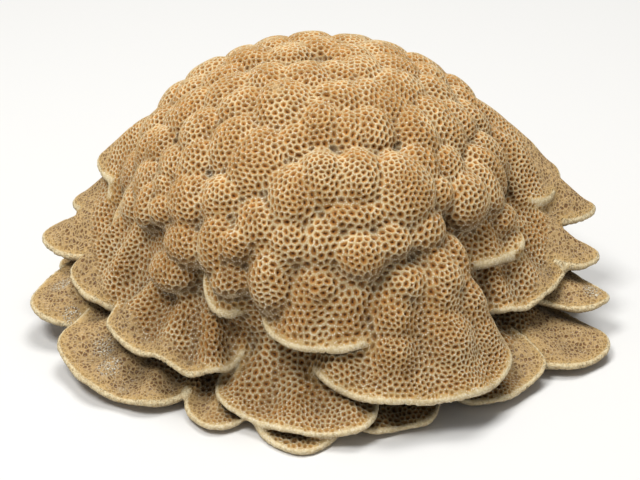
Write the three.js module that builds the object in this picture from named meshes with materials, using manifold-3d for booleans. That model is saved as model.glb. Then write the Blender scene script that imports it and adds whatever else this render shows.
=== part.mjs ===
// A porites coral colony: a dome of knobby lobes over tiers of thin, scalloped ledges, grown as
// one piece and cut off flat below. Millimetres, z up, x along the colony's greatest width. The
// origin is the middle of the flat cut, and the side that faces the viewer looks along minus y.
import * as THREE from 'three';
import { mergeVertices } from 'three/addons/utils/BufferGeometryUtils.js';
import Module from 'manifold-3d';

// The dome: an ellipsoid through the crests of the lobes, standing on an upright wall
const CREST_X = 55;
const CREST_Y = 51;
const CREST_Z = 51.5;
const SHOULDER_Z = 22;
const CORE_INSET = 4.6;
const RELIEF = [[20, 1.45], [45, 1], [80, 0.5]];
const FOOT_NARROWING = 0.1;
const CUT_MARGIN = 4;
const DOME_DETAIL = 11;
const WALL_START = -0.5;
const UNDERSIDE_START = -0.86;

// Lobes stand on the core and run into each other in narrow creases
const LOBE_SPREAD = 1.34;
const LOBE_DEPTH_REACH = 2;
const LOBE_FLATNESS = 1.2;
const CREASE_SHARPNESS = 10;

// Ledges: thin at the rim, thicker and steeper where they leave the dome
const RIM_THICKNESS = 2;
const RIM_SOFTNESS = 0.5;
const ROOT_THICKENING = 4.5;
const ROOT_DEPTH = 6.5;
const ROOT_SPREAD = 0.5;
const HIGHEST_ROOT = 0.98;
const STEEPNESS = [[30, 1.7], [48, 1.3]];
const BULGE = [[30, 0], [48, 2.2]];
const STEEPEST = 2.2;
const FOLD_MIDDLE = 0.45;
const FOLD_REACH = 0.75;
const FOLD_PEAK = 1.6;
const SCALLOP_DEPTH = 0.9;
const SCALLOP_MIDDLE = 0.6;
const SCALLOP_GROWTH = 3;
const STEPS_OUTWARD = 3;
const STEP_CROWDING = 0.7;
const RIM_STEP = 8.6;
const LEAST_STEPS_ACROSS = 5;

// The block that takes away everything under the cut, and how near points count as one
const BLOCK_WIDTH = 400;
const BLOCK_HEIGHT = 100;
const WELD_DISTANCE = 1e-4;

// One lobe a row: azimuth and elevation in degrees (azimuth 0 faces the viewer, 90 is plus x),
// half width and half height along the dome, how far it rises, and its lean in degrees
const FRONT_LOBES = [
  [-8, 38, 5.8, 7, 6.5, 0], [1, 43, 5.2, 6.4, 7, 0], [13, 42, 5.6, 7, 7, 0],
  [27, 37, 7.6, 8.5, 7, 0], [12, 33, 9, 4, 6, 0], [-8, 26, 4.8, 5.8, 5.5, 0],
  [1, 26, 5.2, 6.2, 5.5, 0], [11, 22, 4.8, 5.4, 7, 0], [-13, 14, 4.9, 7.5, 6.2, -10],
  [-25, 14, 5.4, 4.6, 4.4, 0], [-30, 22, 4.6, 7.4, 5.5, 0], [-24, 23, 3.8, 4.4, 6, 0],
  [-19, 30, 5, 5.8, 5.2, 0], [0, 15, 5, 4.6, 4.6, 0], [10, 14, 4.4, 4.2, 4.4, 0],
  [23, 13, 6.4, 5, 5.6, 0], [20, 9, 3.4, 3.4, 6, 0], [33, 12, 4.4, 7.4, 6, 0],
  [32, 25, 3.8, 4.2, 5.2, 0], [39, 13, 3.8, 7, 5, 0], [38, 43, 4.8, 5.6, 4.8, 0],
  [40, 34, 3.8, 4.4, 4.8, 0],
];
const LEFT_LOBES = [
  [-33, 34, 5.8, 5.6, 5, 0], [-44, 31, 5.6, 6.4, 5.2, 0], [-41, 19, 5.9, 4.8, 5, 0],
  [-45, 9, 5.6, 4.8, 5, 0], [-25, 46, 6.2, 8.6, 5.2, 0], [-40, 51, 5.2, 7.6, 4.8, 0],
  [-50, 41, 4.6, 7, 4.4, 0], [-59, 49, 5.2, 6.2, 4.6, 0], [-59, 38, 5, 5, 4.2, 0],
  [-58, 31, 4.4, 3.6, 3.8, 0], [-62, 23, 4.2, 5.6, 4.5, 0], [-53, 25, 4, 3.8, 5, 0],
  [-80, 50, 5.6, 8, 4.4, 0], [-76, 38, 5, 6, 4, 0], [-84, 33, 5, 6, 4, 0],
  [-71, 28, 5, 6, 3.8, 0], [-90, 22, 5, 6, 4, 0], [-76, 17, 5, 5, 3.5, 0],
];
const RIGHT_LOBES = [
  [52, 29, 6.6, 6.4, 4.8, 0], [51, 40, 4.8, 4.8, 3.8, 0], [64, 51, 5.6, 7.8, 4.6, 0],
  [76, 48, 4.6, 6.4, 4.4, 0], [63, 28, 4.4, 7.6, 4.4, -20], [70, 31, 4.2, 8, 4.4, -20],
  [79, 33, 4.2, 8, 4.4, -20], [67, 16, 4, 4, 4, 0], [46, 53, 5.4, 7, 4.8, 0],
  [42, 62, 4.8, 5.6, 4.6, 0], [66, 66, 6.4, 6.4, 4.6, 0], [87, 56, 5, 6, 4.4, 0],
  [90, 42, 4.4, 7, 4.2, 0], [95, 29, 4.8, 6.6, 4.2, 0],
];
const CROWN_LOBES = [
  [-71, 63, 5, 6.4, 4.5, 0], [-50, 61, 5.2, 6.2, 4.5, 0], [-62, 73, 5.4, 5.4, 4.3, 0],
  [-25, 66, 6.6, 7, 5, 0], [1, 60, 5, 7, 5, 0], [-11, 55, 4, 5, 4, 0],
  [13, 57, 4.8, 5.6, 5, 0], [26, 57, 5, 5.6, 5, 0], [16, 69, 7, 5.6, 4.8, 0],
  [36, 67, 5, 6, 4.6, 0], [-14, 79, 7, 5, 4.4, 0], [30, 80, 6, 5, 4.2, 0],
  [64, 78, 5.4, 5, 4.4, 0], [95, 68, 5.4, 6, 4.4, 0], [120, 81, 6, 5, 4.2, 0],
  [175, 80, 6.5, 5, 4.4, 0], [-120, 80, 6, 5, 4.3, 0], [126, 68, 6, 6.2, 4.8, 0],
  [156, 69, 5.8, 6, 4.6, 0], [-172, 67, 6.4, 6.4, 5, 0], [-142, 68, 5.8, 6, 4.5, 0],
  [-112, 67, 6.2, 6.4, 4.8, 0], [-92, 62, 4.6, 5.6, 4.4, 0],
];
const BACK_LOBES = [
  [104, 57, 6, 5.4, 4.6, 10], [122, 53, 5.2, 7.2, 5, 0], [141, 58, 7, 5.6, 4.8, -12],
  [163, 52, 6.4, 7.4, 5.4, 0], [-174, 56, 5, 5.6, 4.6, 15], [-157, 53, 7, 7, 5.2, 0],
  [-134, 57, 5.2, 6, 4.6, -10], [-118, 51, 6.4, 7.2, 5, 0], [-99, 51, 4.8, 6, 4.5, 0],
  [101, 44, 4.6, 6, 4.4, 0], [114, 42, 6.2, 6, 5, 12], [131, 43, 5, 7.2, 5.4, 0],
  [148, 39, 7, 6.6, 5.8, 0], [168, 38, 5, 5.6, 4.8, -14], [-179, 42, 6.6, 7, 5.6, 0],
  [-160, 39, 5, 6, 4.8, 10], [-146, 42, 6.6, 7.4, 5.6, 0], [-128, 39, 5, 6, 4.8, 0],
  [-113, 39, 6, 6.6, 5, -12], [-96, 36, 5, 6.4, 4.4, 0], [106, 29, 5.6, 6.8, 5, 0],
  [120, 25, 5, 5.4, 4.6, 10], [134, 29, 6.6, 7.4, 5.8, 0], [151, 25, 5, 5.6, 5, 0],
  [163, 27, 5.4, 6, 5.2, -12], [179, 26, 6.8, 7.2, 6, 0], [-164, 25, 4.8, 5.4, 4.8, 0],
  [-150, 28, 6.2, 7, 5.6, 8], [-133, 25, 5, 5.6, 4.6, 0], [-119, 26, 6, 6.8, 5, 0],
  [-102, 22, 4.8, 5.6, 4.2, 0], [111, 13, 5.4, 5.6, 4.6, 0], [127, 14, 6, 6.4, 5.4, 10],
  [143, 12, 4.8, 5.4, 4.8, 0], [157, 13, 6.4, 6.6, 6, 0], [174, 12, 5, 5.6, 5, 0],
  [-169, 14, 6.2, 6.6, 5.6, 0], [-152, 12, 5, 5.6, 4.8, 0], [-137, 13, 6, 6.2, 5.2, -10],
  [-121, 11, 4.8, 5.4, 4.4, 0], [-107, 12, 5.6, 6.2, 4.6, 0],
];
const LOBES = [...FRONT_LOBES, ...LEFT_LOBES, ...RIGHT_LOBES, ...CROWN_LOBES, ...BACK_LOBES];

// One ledge a row: where its root leaves the dome (azimuth, height), how many folds fan out
// across it and how high they stand, and its rim as points of azimuth, reach and height
const FRONT_LEDGES = [
  { root: [1, 48], folds: 3, fold: 2, rim: [[-18, 43, 30], [-17, 50, 25], [-12, 53, 23],
    [-6, 56, 22.5], [1, 56, 22.5], [8, 56, 22.5], [14, 54, 23], [17, 51, 26], [17, 44, 30]] },
  { root: [-26, 46], folds: 2, fold: 1.2, rim: [[-35, 44, 31], [-34, 48, 27], [-31, 50, 24.5],
    [-26, 50.5, 23.5], [-22, 49.5, 24], [-19, 47, 26], [-17, 43, 30]] },
  { root: [27, 46], folds: 5, fold: 3, rim: [[-8, 44, 18], [-3, 50, 15], [1, 55, 13],
    [7, 60, 12], [15, 64, 11.5], [24, 66, 11], [32, 68, 11], [39, 68, 11], [45, 65, 12],
    [50, 60, 14], [52, 50, 18]] },
  { root: [-5, 24], folds: 4, fold: 2.4, rim: [[-26, 45, 12], [-29, 55, 8], [-24, 59, 6],
    [-17, 61, 5], [-10, 63, 5], [-3, 65, 5], [4, 65, 5], [10, 64, 5.5], [14, 60, 8],
    [14, 52, 11]] },
  { root: [-4, 10], folds: 2, fold: 0.8, rim: [[-18, 56, 5], [-13, 63, 3], [-7, 67, 2.6],
    [-1, 67, 2.6], [4, 63, 3], [7, 55, 5]] },
  { root: [20, 11], folds: 3, fold: 1, rim: [[4, 53, 5], [8, 60.5, 3], [14, 62.5, 2.6],
    [21, 62.5, 2.6], [28, 61.5, 3], [33, 54, 5]] },
  { root: [-27, 12], folds: 2, fold: 1, rim: [[-36, 54, 6], [-32, 62, 3], [-27, 64, 2.6],
    [-22, 64, 2.6], [-18, 61, 3], [-15, 54, 5]] },
];
const LEFT_LEDGES = [
  { root: [-41, 40], folds: 4, fold: 4, rim: [[-62, 52, 20], [-59, 62, 15], [-54, 63, 13],
    [-48, 62, 13], [-42, 61, 12], [-36, 61, 12], [-30, 59, 12], [-25, 54, 13], [-21, 47, 16]] },
  { root: [-53, 20], folds: 4, fold: 2.4, rim: [[-73, 58, 11], [-70, 70, 9], [-63, 72, 6],
    [-57, 69, 5], [-50, 69, 4], [-43, 69, 4], [-37, 65, 4], [-33, 54, 6]] },
  { root: [-70, 44], folds: 3, fold: 3, rim: [[-84, 54, 25], [-82, 64, 20], [-78, 66, 18],
    [-72, 63, 16], [-67, 59, 15], [-62, 56, 15], [-59, 49, 18]] },
  { root: [-79, 31], folds: 2, fold: 2.4, rim: [[-93, 56, 17], [-87, 70, 13], [-81, 76.5, 11],
    [-75, 75, 9], [-70, 69, 8], [-66, 60, 9], [-64, 51, 12]] },
  { root: [-78, 50], folds: 2, fold: 1.6, rim: [[-87, 50, 33], [-82, 54, 30], [-78, 54, 28],
    [-74, 52, 27], [-70, 48, 28], [-67, 44, 30]] },
  { root: [-95, 38], folds: 2, fold: 1.8, rim: [[-108, 54, 23], [-101, 66, 21], [-96, 72, 20],
    [-91, 73, 19], [-86, 69, 18], [-82, 60, 19], [-80, 52, 22]] },
  { root: [-103, 42], folds: 2, fold: 1.8, rim: [[-117, 52, 29], [-112, 63, 26], [-105, 65, 25],
    [-98, 67, 25], [-93, 63, 27], [-89, 52, 31]] },
  { root: [-90, 49], folds: 1, fold: 0.8, rim: [[-96, 48, 38], [-95, 54, 35], [-91, 55, 32],
    [-88, 51, 31], [-84, 46, 33]] },
  { root: [-100, 52], folds: 2, fold: 1.4, rim: [[-110, 50, 42], [-105, 57, 40], [-100, 59, 38],
    [-95, 58, 36], [-89, 50, 36]] },
];
const RIGHT_LEDGES = [
  { root: [62, 50], folds: 3, fold: 1.8, rim: [[47, 43, 32], [51, 49, 30], [58, 51, 29],
    [64, 53, 29], [70, 54, 30], [75, 51, 32], [77, 44, 36]] },
  { root: [66, 42], folds: 4, fold: 3.2, rim: [[49, 46, 21], [52, 53, 18], [58, 57, 16.5],
    [65, 60, 16.5], [72, 63, 17.5], [79, 65, 18.5], [86, 62, 22], [86, 54, 28]] },
  { root: [50, 20], folds: 3, fold: 1.8, rim: [[32, 52, 6], [34, 60, 3.5], [40, 65, 3],
    [47, 67, 4], [53, 68, 5], [58, 66, 6], [61, 60, 9], [60, 50, 14]] },
  { root: [67, 22], folds: 3, fold: 2.2, rim: [[54, 52, 8], [55, 60, 5], [59, 69, 4],
    [63, 75, 4.5], [68, 78.5, 6], [74, 76, 7], [77, 68, 9], [80, 55, 14]] },
  { root: [76, 30], folds: 2, fold: 1.8, rim: [[68, 56, 12], [71, 68, 9], [75, 75, 9.5],
    [79, 76.5, 11], [83, 68, 14], [87, 56, 18]] },
  { root: [85, 37], folds: 2, fold: 1.8, rim: [[75, 57, 17], [78, 69, 14], [82, 73, 15],
    [86, 72, 17], [90, 66, 19], [95, 56, 22]] },
  { root: [94, 41], folds: 2, fold: 1.8, rim: [[84, 54, 24], [87, 66, 20], [91, 73, 20],
    [96, 74, 22], [101, 66, 25], [106, 52, 28]] },
  { root: [91, 50], folds: 2, fold: 1.4, rim: [[82, 50, 30], [86, 60, 29], [91, 62, 31],
    [96, 59, 34], [101, 48, 37]] },
  { root: [100, 52], folds: 2, fold: 1.4, rim: [[88, 52, 36], [93, 63, 33], [99, 63, 35],
    [106, 60, 37], [112, 49, 40]] },
  { root: [103, 57], folds: 1, fold: 0.8, rim: [[91, 46, 43], [95, 54, 41], [100, 56, 42],
    [106, 53, 44], [112, 44, 47]] },
];
const BACK_LEDGES = [
  { root: [125, 45], folds: 4, fold: 3, rim: [[107, 52, 29], [110, 63, 25], [117, 68, 22],
    [125, 65, 21], [132, 66, 20], [139, 61, 23], [143, 51, 28]] },
  { root: [156, 43], folds: 5, fold: 3.2, rim: [[133, 50, 22], [137, 60, 18], [145, 66, 15],
    [154, 64, 16], [162, 67, 15], [171, 64, 17], [177, 51, 22]] },
  { root: [-158, 46], folds: 4, fold: 3, rim: [[-179, 49, 32], [-175, 57, 27], [-168, 60, 24],
    [-160, 64, 23], [-151, 60, 24], [-143, 59, 26], [-139, 49, 31]] },
  { root: [-128, 43], folds: 4, fold: 3.2, rim: [[-148, 50, 23], [-144, 62, 18],
    [-136, 63, 16], [-127, 68, 15], [-118, 64, 17], [-111, 63, 19], [-107, 52, 24]] },
  { root: [92, 20], folds: 2, fold: 1.8, rim: [[77, 55, 9], [80, 66, 6], [87, 70, 4.5],
    [94, 70, 4.5], [101, 67, 6], [105, 56, 9]] },
  { root: [116, 23], folds: 3, fold: 2, rim: [[98, 57, 12], [100, 68, 8], [106, 73, 6],
    [113, 70, 5], [120, 72, 5], [127, 67, 6], [131, 56, 10]] },
  { root: [146, 19], folds: 4, fold: 2, rim: [[124, 54, 9], [128, 65, 5], [137, 70, 4],
    [146, 66, 3.5], [155, 69, 4], [163, 65, 5], [167, 53, 8]] },
  { root: [-177, 20], folds: 4, fold: 2.2, rim: [[161, 51, 11], [164, 62, 7], [172, 67.5, 5],
    [-179, 65, 4.5], [-169, 67.5, 5], [-161, 61, 7], [-158, 51, 11]] },
  { root: [-142, 18], folds: 4, fold: 2, rim: [[-163, 52, 8], [-159, 64, 4], [-150, 69, 3.2],
    [-141, 66, 3], [-132, 69, 3.5], [-124, 66, 5], [-120, 54, 9]] },
  { root: [-107, 22], folds: 3, fold: 2, rim: [[-124, 55, 11], [-119, 68, 7], [-111, 73, 5],
    [-102, 71, 5], [-94, 71, 7], [-89, 57, 12]] },
];
const LEDGES = [...FRONT_LEDGES, ...LEFT_LEDGES, ...RIGHT_LEDGES, ...BACK_LEDGES];

const SKELETON = { color: 0xb48f5e, roughness: 0.9, metalness: 0 };

const wasm = await Module();
wasm.setup();

function radians(degrees) {
  return THREE.MathUtils.degToRad(degrees);
}

// Reads a value off a line of [place, value] points, level beyond either end of it
function readLine(line, place) {
  let [start, value] = line[0];
  for (const [end, next] of line) {
    if (place < end) {
      const share = Math.max(0, (place - start) / (end - start || 1));
      return THREE.MathUtils.lerp(value, next, share);
    }
    [start, value] = [end, next];
  }
  return value;
}

// A point of the dome's crest surface, or of one that lies `inset` under it. Below the shoulder
// the ellipsoid gives way to an upright wall that narrows a little towards the cut.
function crestPoint(azimuth, elevation, inset) {
  const rise = Math.sin(elevation);
  const below = Math.min(0, rise) * (CREST_Z / SHOULDER_Z);
  const across = elevation < 0 ? 1 - FOOT_NARROWING * below * below : Math.cos(elevation);
  return new THREE.Vector3(
    (CREST_X - inset) * across * Math.sin(azimuth),
    -(CREST_Y - inset) * across * Math.cos(azimuth),
    SHOULDER_Z + (CREST_Z - inset) * rise,
  );
}

// The directions along azimuth, up the slope and out of the dome at a point of it
function crestFrame(azimuth, elevation) {
  const lift = Math.max(0, elevation);
  const along = new THREE.Vector3(CREST_X * Math.cos(azimuth), CREST_Y * Math.sin(azimuth), 0);
  const out = new THREE.Vector3(
    (Math.cos(lift) * Math.sin(azimuth)) / CREST_X,
    (-Math.cos(lift) * Math.cos(azimuth)) / CREST_Y,
    Math.sin(lift) / CREST_Z,
  );
  along.normalize();
  out.normalize();
  return { along, out, up: out.clone().cross(along) };
}

// How strongly the lobes stand out, from the foot of the dome up to its crown
function reliefAt(elevation) {
  return readLine(RELIEF, THREE.MathUtils.radToDeg(elevation));
}

const placedLobes = LOBES.map(([azimuth, elevation, halfWidth, halfHeight, rise, lean]) => {
  const frame = crestFrame(radians(azimuth), radians(elevation));
  return {
    centre: crestPoint(radians(azimuth), radians(elevation), 0),
    across: frame.along.clone().applyAxisAngle(frame.out, -radians(lean)),
    upward: frame.up.clone().applyAxisAngle(frame.out, -radians(lean)),
    out: frame.out,
    halfWidth: halfWidth * LOBE_SPREAD,
    halfHeight: halfHeight * LOBE_SPREAD,
    depth: LOBE_DEPTH_REACH * Math.max(halfWidth, halfHeight),
    rise,
  };
});

// How far one lobe rises at a point: a broad cap with steep sides
function lobeRise(lobe, point) {
  const offset = point.clone().sub(lobe.centre);
  const across = offset.dot(lobe.across) / lobe.halfWidth;
  const upward = offset.dot(lobe.upward) / lobe.halfHeight;
  const inward = offset.dot(lobe.out) / lobe.depth;
  const outOfMiddle = (across * across + upward * upward + inward * inward) ** LOBE_FLATNESS;
  return lobe.rise * Math.sqrt(Math.max(0, 1 - outOfMiddle));
}

// The lobes joined: near the highest of them everywhere, with rounded creases between
function lobedHeight(point) {
  let sum = 0;
  for (const lobe of placedLobes) {
    sum += lobeRise(lobe, point) ** CREASE_SHARPNESS;
  }
  return sum ** (1 / CREASE_SHARPNESS);
}

// Where a direction of the unit sphere lands on the lobed dome. Most of the sphere is spread
// over the dome, a band of it over the wall, and its lowest cap closes the underside.
function domePoint(direction) {
  const azimuth = Math.atan2(direction.x, -direction.y);
  const level = direction.z;
  const lowest = -Math.asin((SHOULDER_Z + CUT_MARGIN) / CREST_Z);
  if (level < UNDERSIDE_START) {
    const floor = lobedPoint(azimuth, lowest);
    const inwards = (level + 1) / (UNDERSIDE_START + 1);
    floor.x *= inwards;
    floor.y *= inwards;
    return floor;
  }
  if (level < WALL_START) {
    const down = (WALL_START - level) / (WALL_START - UNDERSIDE_START);
    return lobedPoint(azimuth, lowest * down);
  }
  return lobedPoint(azimuth, Math.asin((level - WALL_START) / (1 - WALL_START)));
}

// A point of the core, raised by the lobes over it
function lobedPoint(azimuth, elevation) {
  const relief = reliefAt(elevation);
  const height = lobedHeight(crestPoint(azimuth, elevation, 0)) * relief;
  const out = crestFrame(azimuth, elevation).out;
  return crestPoint(azimuth, elevation, CORE_INSET * relief).addScaledVector(out, height);
}

// Moves every vertex of a closed geometry through a function of its position
function reshape(geometry, place) {
  geometry.deleteAttribute('normal');
  geometry.deleteAttribute('uv');
  const welded = mergeVertices(geometry, WELD_DISTANCE);
  const position = welded.attributes.position;
  const point = new THREE.Vector3();
  for (let i = 0; i < position.count; i += 1) {
    point.fromBufferAttribute(position, i);
    const moved = place(point);
    position.setXYZ(i, moved.x, moved.y, moved.z);
  }
  return welded;
}

function solidOf(geometry) {
  return new wasm.Manifold(new wasm.Mesh({
    numProp: 3,
    vertProperties: new Float32Array(geometry.attributes.position.array),
    triVerts: new Uint32Array(geometry.index.array),
  }));
}

function dome() {
  return solidOf(reshape(new THREE.IcosahedronGeometry(1, DOME_DETAIL), domePoint));
}

function polar([azimuth, reach, height]) {
  const angle = radians(azimuth);
  return new THREE.Vector3(reach * Math.sin(angle), -reach * Math.cos(angle), height);
}

// A point of a rim: half way between the curve through the rim's own points and the softer
// curve that only bends towards them
function rimPoint(knots, share) {
  const spans = knots.length - 1;
  const before = knots[0].clone().multiplyScalar(2).sub(knots[1]);
  const after = knots[spans].clone().multiplyScalar(2).sub(knots[spans - 1]);
  const every = [before, ...knots, after];
  const span = Math.min(Math.floor(share * spans), spans - 1);
  const t = share * spans - span;
  const s = 1 - t;
  const through = [-t * s * s, 2 * s * s * (1 + 2 * t) + t * t * s,
    2 * t * t * (1 + 2 * s) + t * s * s, -t * t * s].map((weight) => weight / 2);
  const soft = [s ** 3, 3 * t ** 3 - 6 * t * t + 4, 3 * s ** 3 - 6 * s * s + 4, t ** 3]
    .map((weight) => weight / 6);
  const point = new THREE.Vector3();
  through.forEach((weight, k) => {
    const blended = THREE.MathUtils.lerp(weight, soft[k], RIM_SOFTNESS);
    point.addScaledVector(every[span + k], blended);
  });
  return point;
}

function lengthOf(knots) {
  let length = 0;
  for (let k = 1; k < knots.length; k += 1) {
    length += knots[k].distanceTo(knots[k - 1]);
  }
  return length;
}

// The root line of a ledge, inside the dome: an arc half as wide as the rim
function rootCurve(ledge) {
  const [azimuth, height] = ledge.root;
  const coreHeight = (height - SHOULDER_Z) / (CREST_Z - CORE_INSET);
  const lift = THREE.MathUtils.clamp(coreHeight, 0, HIGHEST_ROOT);
  const shrink = Math.sqrt(1 - lift * lift);
  const first = polar(ledge.rim[0]);
  const last = polar(ledge.rim[ledge.rim.length - 1]);
  const centre = polar([azimuth, 1, 0]);
  const turn = (point) => {
    const flat = new THREE.Vector2(point.x, point.y);
    const cross = centre.x * flat.y - centre.y * flat.x;
    return Math.atan2(cross, centre.x * flat.x + centre.y * flat.y);
  };
  const spread = [turn(first) * ROOT_SPREAD, turn(last) * ROOT_SPREAD];
  return (share) => {
    const angle = radians(azimuth) + THREE.MathUtils.lerp(spread[0], spread[1], share);
    return new THREE.Vector3(
      (CREST_X - CORE_INSET - ROOT_DEPTH) * shrink * Math.sin(angle),
      -(CREST_Y - CORE_INSET - ROOT_DEPTH) * shrink * Math.cos(angle),
      height,
    );
  };
}

// How high the folds of a ledge stand at a share of its width, from 0 in a groove to 1
function foldProfile(folds, share) {
  if (folds < 2) {
    return 1;
  }
  const phase = folds % 2 === 0 ? 0 : Math.PI / 2;
  return Math.abs(Math.cos(Math.PI * folds * (share - 0.5) + phase));
}

// A ledge as a bent box: x runs back along the rim, y from root to rim, z through its thickness.
// It falls steeply from its root and flares towards the rim; high roots bulge on the way. The
// steps from root to rim crowd towards the rim.
function ledgeSolid(ledge) {
  const knots = ledge.rim.map(polar);
  const root = rootCurve(ledge);
  const steepness = readLine(STEEPNESS, ledge.root[1]);
  const bulge = readLine(BULGE, ledge.root[1]);
  const stepsAcross = Math.max(LEAST_STEPS_ACROSS, Math.round(lengthOf(knots) / RIM_STEP));
  const sheet = new THREE.BoxGeometry(1, 1, 1, stepsAcross, STEPS_OUTWARD, 1);
  const place = (corner) => {
    const share = 0.5 - corner.x;
    const outward = (corner.y + 0.5) ** STEP_CROWDING;
    const left = 1 - outward;
    const start = root(share);
    const end = rimPoint(knots, share);
    const drop = start.z - end.z;
    const fold = foldProfile(ledge.folds, share);
    const away = new THREE.Vector3(end.x - start.x, end.y - start.y, 0);
    const swollen = 1 + bulge * outward;
    const fall = steepness * left ** (steepness - 1) * swollen - bulge * left ** steepness;
    const slope = Math.min((fall * drop) / away.length(), STEEPEST);
    const ripple = Math.sin(Math.PI * FOLD_REACH * outward ** FOLD_PEAK);
    const scallop = SCALLOP_DEPTH * (fold - SCALLOP_MIDDLE) * outward ** SCALLOP_GROWTH;
    const point = start.clone().lerp(end, outward);
    point.addScaledVector(away.normalize(), scallop);
    point.z = end.z + drop * left ** steepness * swollen;
    point.z += ledge.fold * (fold - FOLD_MIDDLE) * ripple;
    if (corner.z < 0) {
      point.z -= (RIM_THICKNESS + ROOT_THICKENING * left) * Math.hypot(1, slope);
    }
    return point;
  };
  return solidOf(reshape(sheet, place));
}

// A plain box that takes away everything under the flat cut
function belowCut() {
  const block = new THREE.BoxGeometry(BLOCK_WIDTH, BLOCK_WIDTH, BLOCK_HEIGHT);
  block.translate(0, 0, -BLOCK_HEIGHT / 2);
  return solidOf(reshape(block, (corner) => corner));
}

// Grows the ledges out of the dome and cuts the colony off flat. Pockets closed in between
// ledges are filled: only the shell with the largest volume, the outer one, is kept.
function colony() {
  let solid = dome();
  for (const ledge of LEDGES) {
    solid = solid.add(ledgeSolid(ledge));
  }
  const shells = solid.subtract(belowCut()).decompose();
  return shells.reduce((best, shell) => (shell.volume() > best.volume() ? shell : best));
}

function geometryOf(solid) {
  const mesh = solid.getMesh();
  const geometry = new THREE.BufferGeometry();
  geometry.setAttribute('position', new THREE.BufferAttribute(mesh.vertProperties, 3));
  geometry.setIndex(new THREE.BufferAttribute(mesh.triVerts, 1));
  geometry.computeVertexNormals();
  return geometry;
}

const group = new THREE.Group();
const coral = new THREE.Mesh(geometryOf(colony()), new THREE.MeshStandardMaterial(SKELETON));
coral.name = 'coral_colony';
group.add(coral);

export default group;
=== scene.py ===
"""The dressed porites coral colony: a fused body of lobes and ledges, every cup modelled.

Lengths in this file are millimetres until `to_metres`, and z is up. Azimuth 0 faces the
viewer, which is minus y, and grows towards plus x. The lobes and ledges are those of the frame,
with some roots and rims moved a little to part them better.
"""
import logging
import math
from dataclasses import dataclass
from enum import Enum

import bmesh
import bpy
import numpy as np
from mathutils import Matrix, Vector, noise
from mathutils.bvhtree import BVHTree
from mathutils.kdtree import KDTree


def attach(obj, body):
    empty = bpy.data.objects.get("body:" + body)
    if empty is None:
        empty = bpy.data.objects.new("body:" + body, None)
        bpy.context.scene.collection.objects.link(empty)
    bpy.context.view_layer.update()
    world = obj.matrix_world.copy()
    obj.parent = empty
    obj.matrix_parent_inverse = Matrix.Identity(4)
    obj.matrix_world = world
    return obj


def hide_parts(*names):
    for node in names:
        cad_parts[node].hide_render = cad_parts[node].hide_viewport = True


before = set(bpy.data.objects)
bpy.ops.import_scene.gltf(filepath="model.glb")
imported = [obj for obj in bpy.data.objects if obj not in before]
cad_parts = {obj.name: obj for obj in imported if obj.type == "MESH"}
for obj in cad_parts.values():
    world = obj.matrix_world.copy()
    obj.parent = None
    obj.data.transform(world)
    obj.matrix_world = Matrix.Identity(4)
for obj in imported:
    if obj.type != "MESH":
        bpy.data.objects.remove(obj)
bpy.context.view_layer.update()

LOG = logging.getLogger("porites")
MM = 0.001
SHORTEST = 1e-12
SPECULAR = 0.25
SEED = 7
CELL_VALUES = ("rim", "crease", "tint", "under", "fine", "shelter")
CUP_WEIGHT = 7.0
GOLDEN_ANGLE = math.pi * (3.0 - math.sqrt(5.0))
HEXAGON = math.sqrt(3.0) / 2.0
SLICE_NAMES = ("coral_left", "coral_mid_left", "coral_middle", "coral_mid_right", "coral_right")


@dataclass(frozen=True)
class Lobe:
    """One knob of the dome: where it stands, its half sizes along the dome and its rise."""

    azimuth: float
    elevation: float
    half_width: float
    half_height: float
    rise: float
    lean: float = 0.0


@dataclass(frozen=True)
class Ledge:
    """One thin plate: where its root leaves the dome, its folds and the points of its rim."""

    root: tuple[float, float]
    folds: int
    fold: float
    rim: tuple[tuple[float, float, float], ...]


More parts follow.
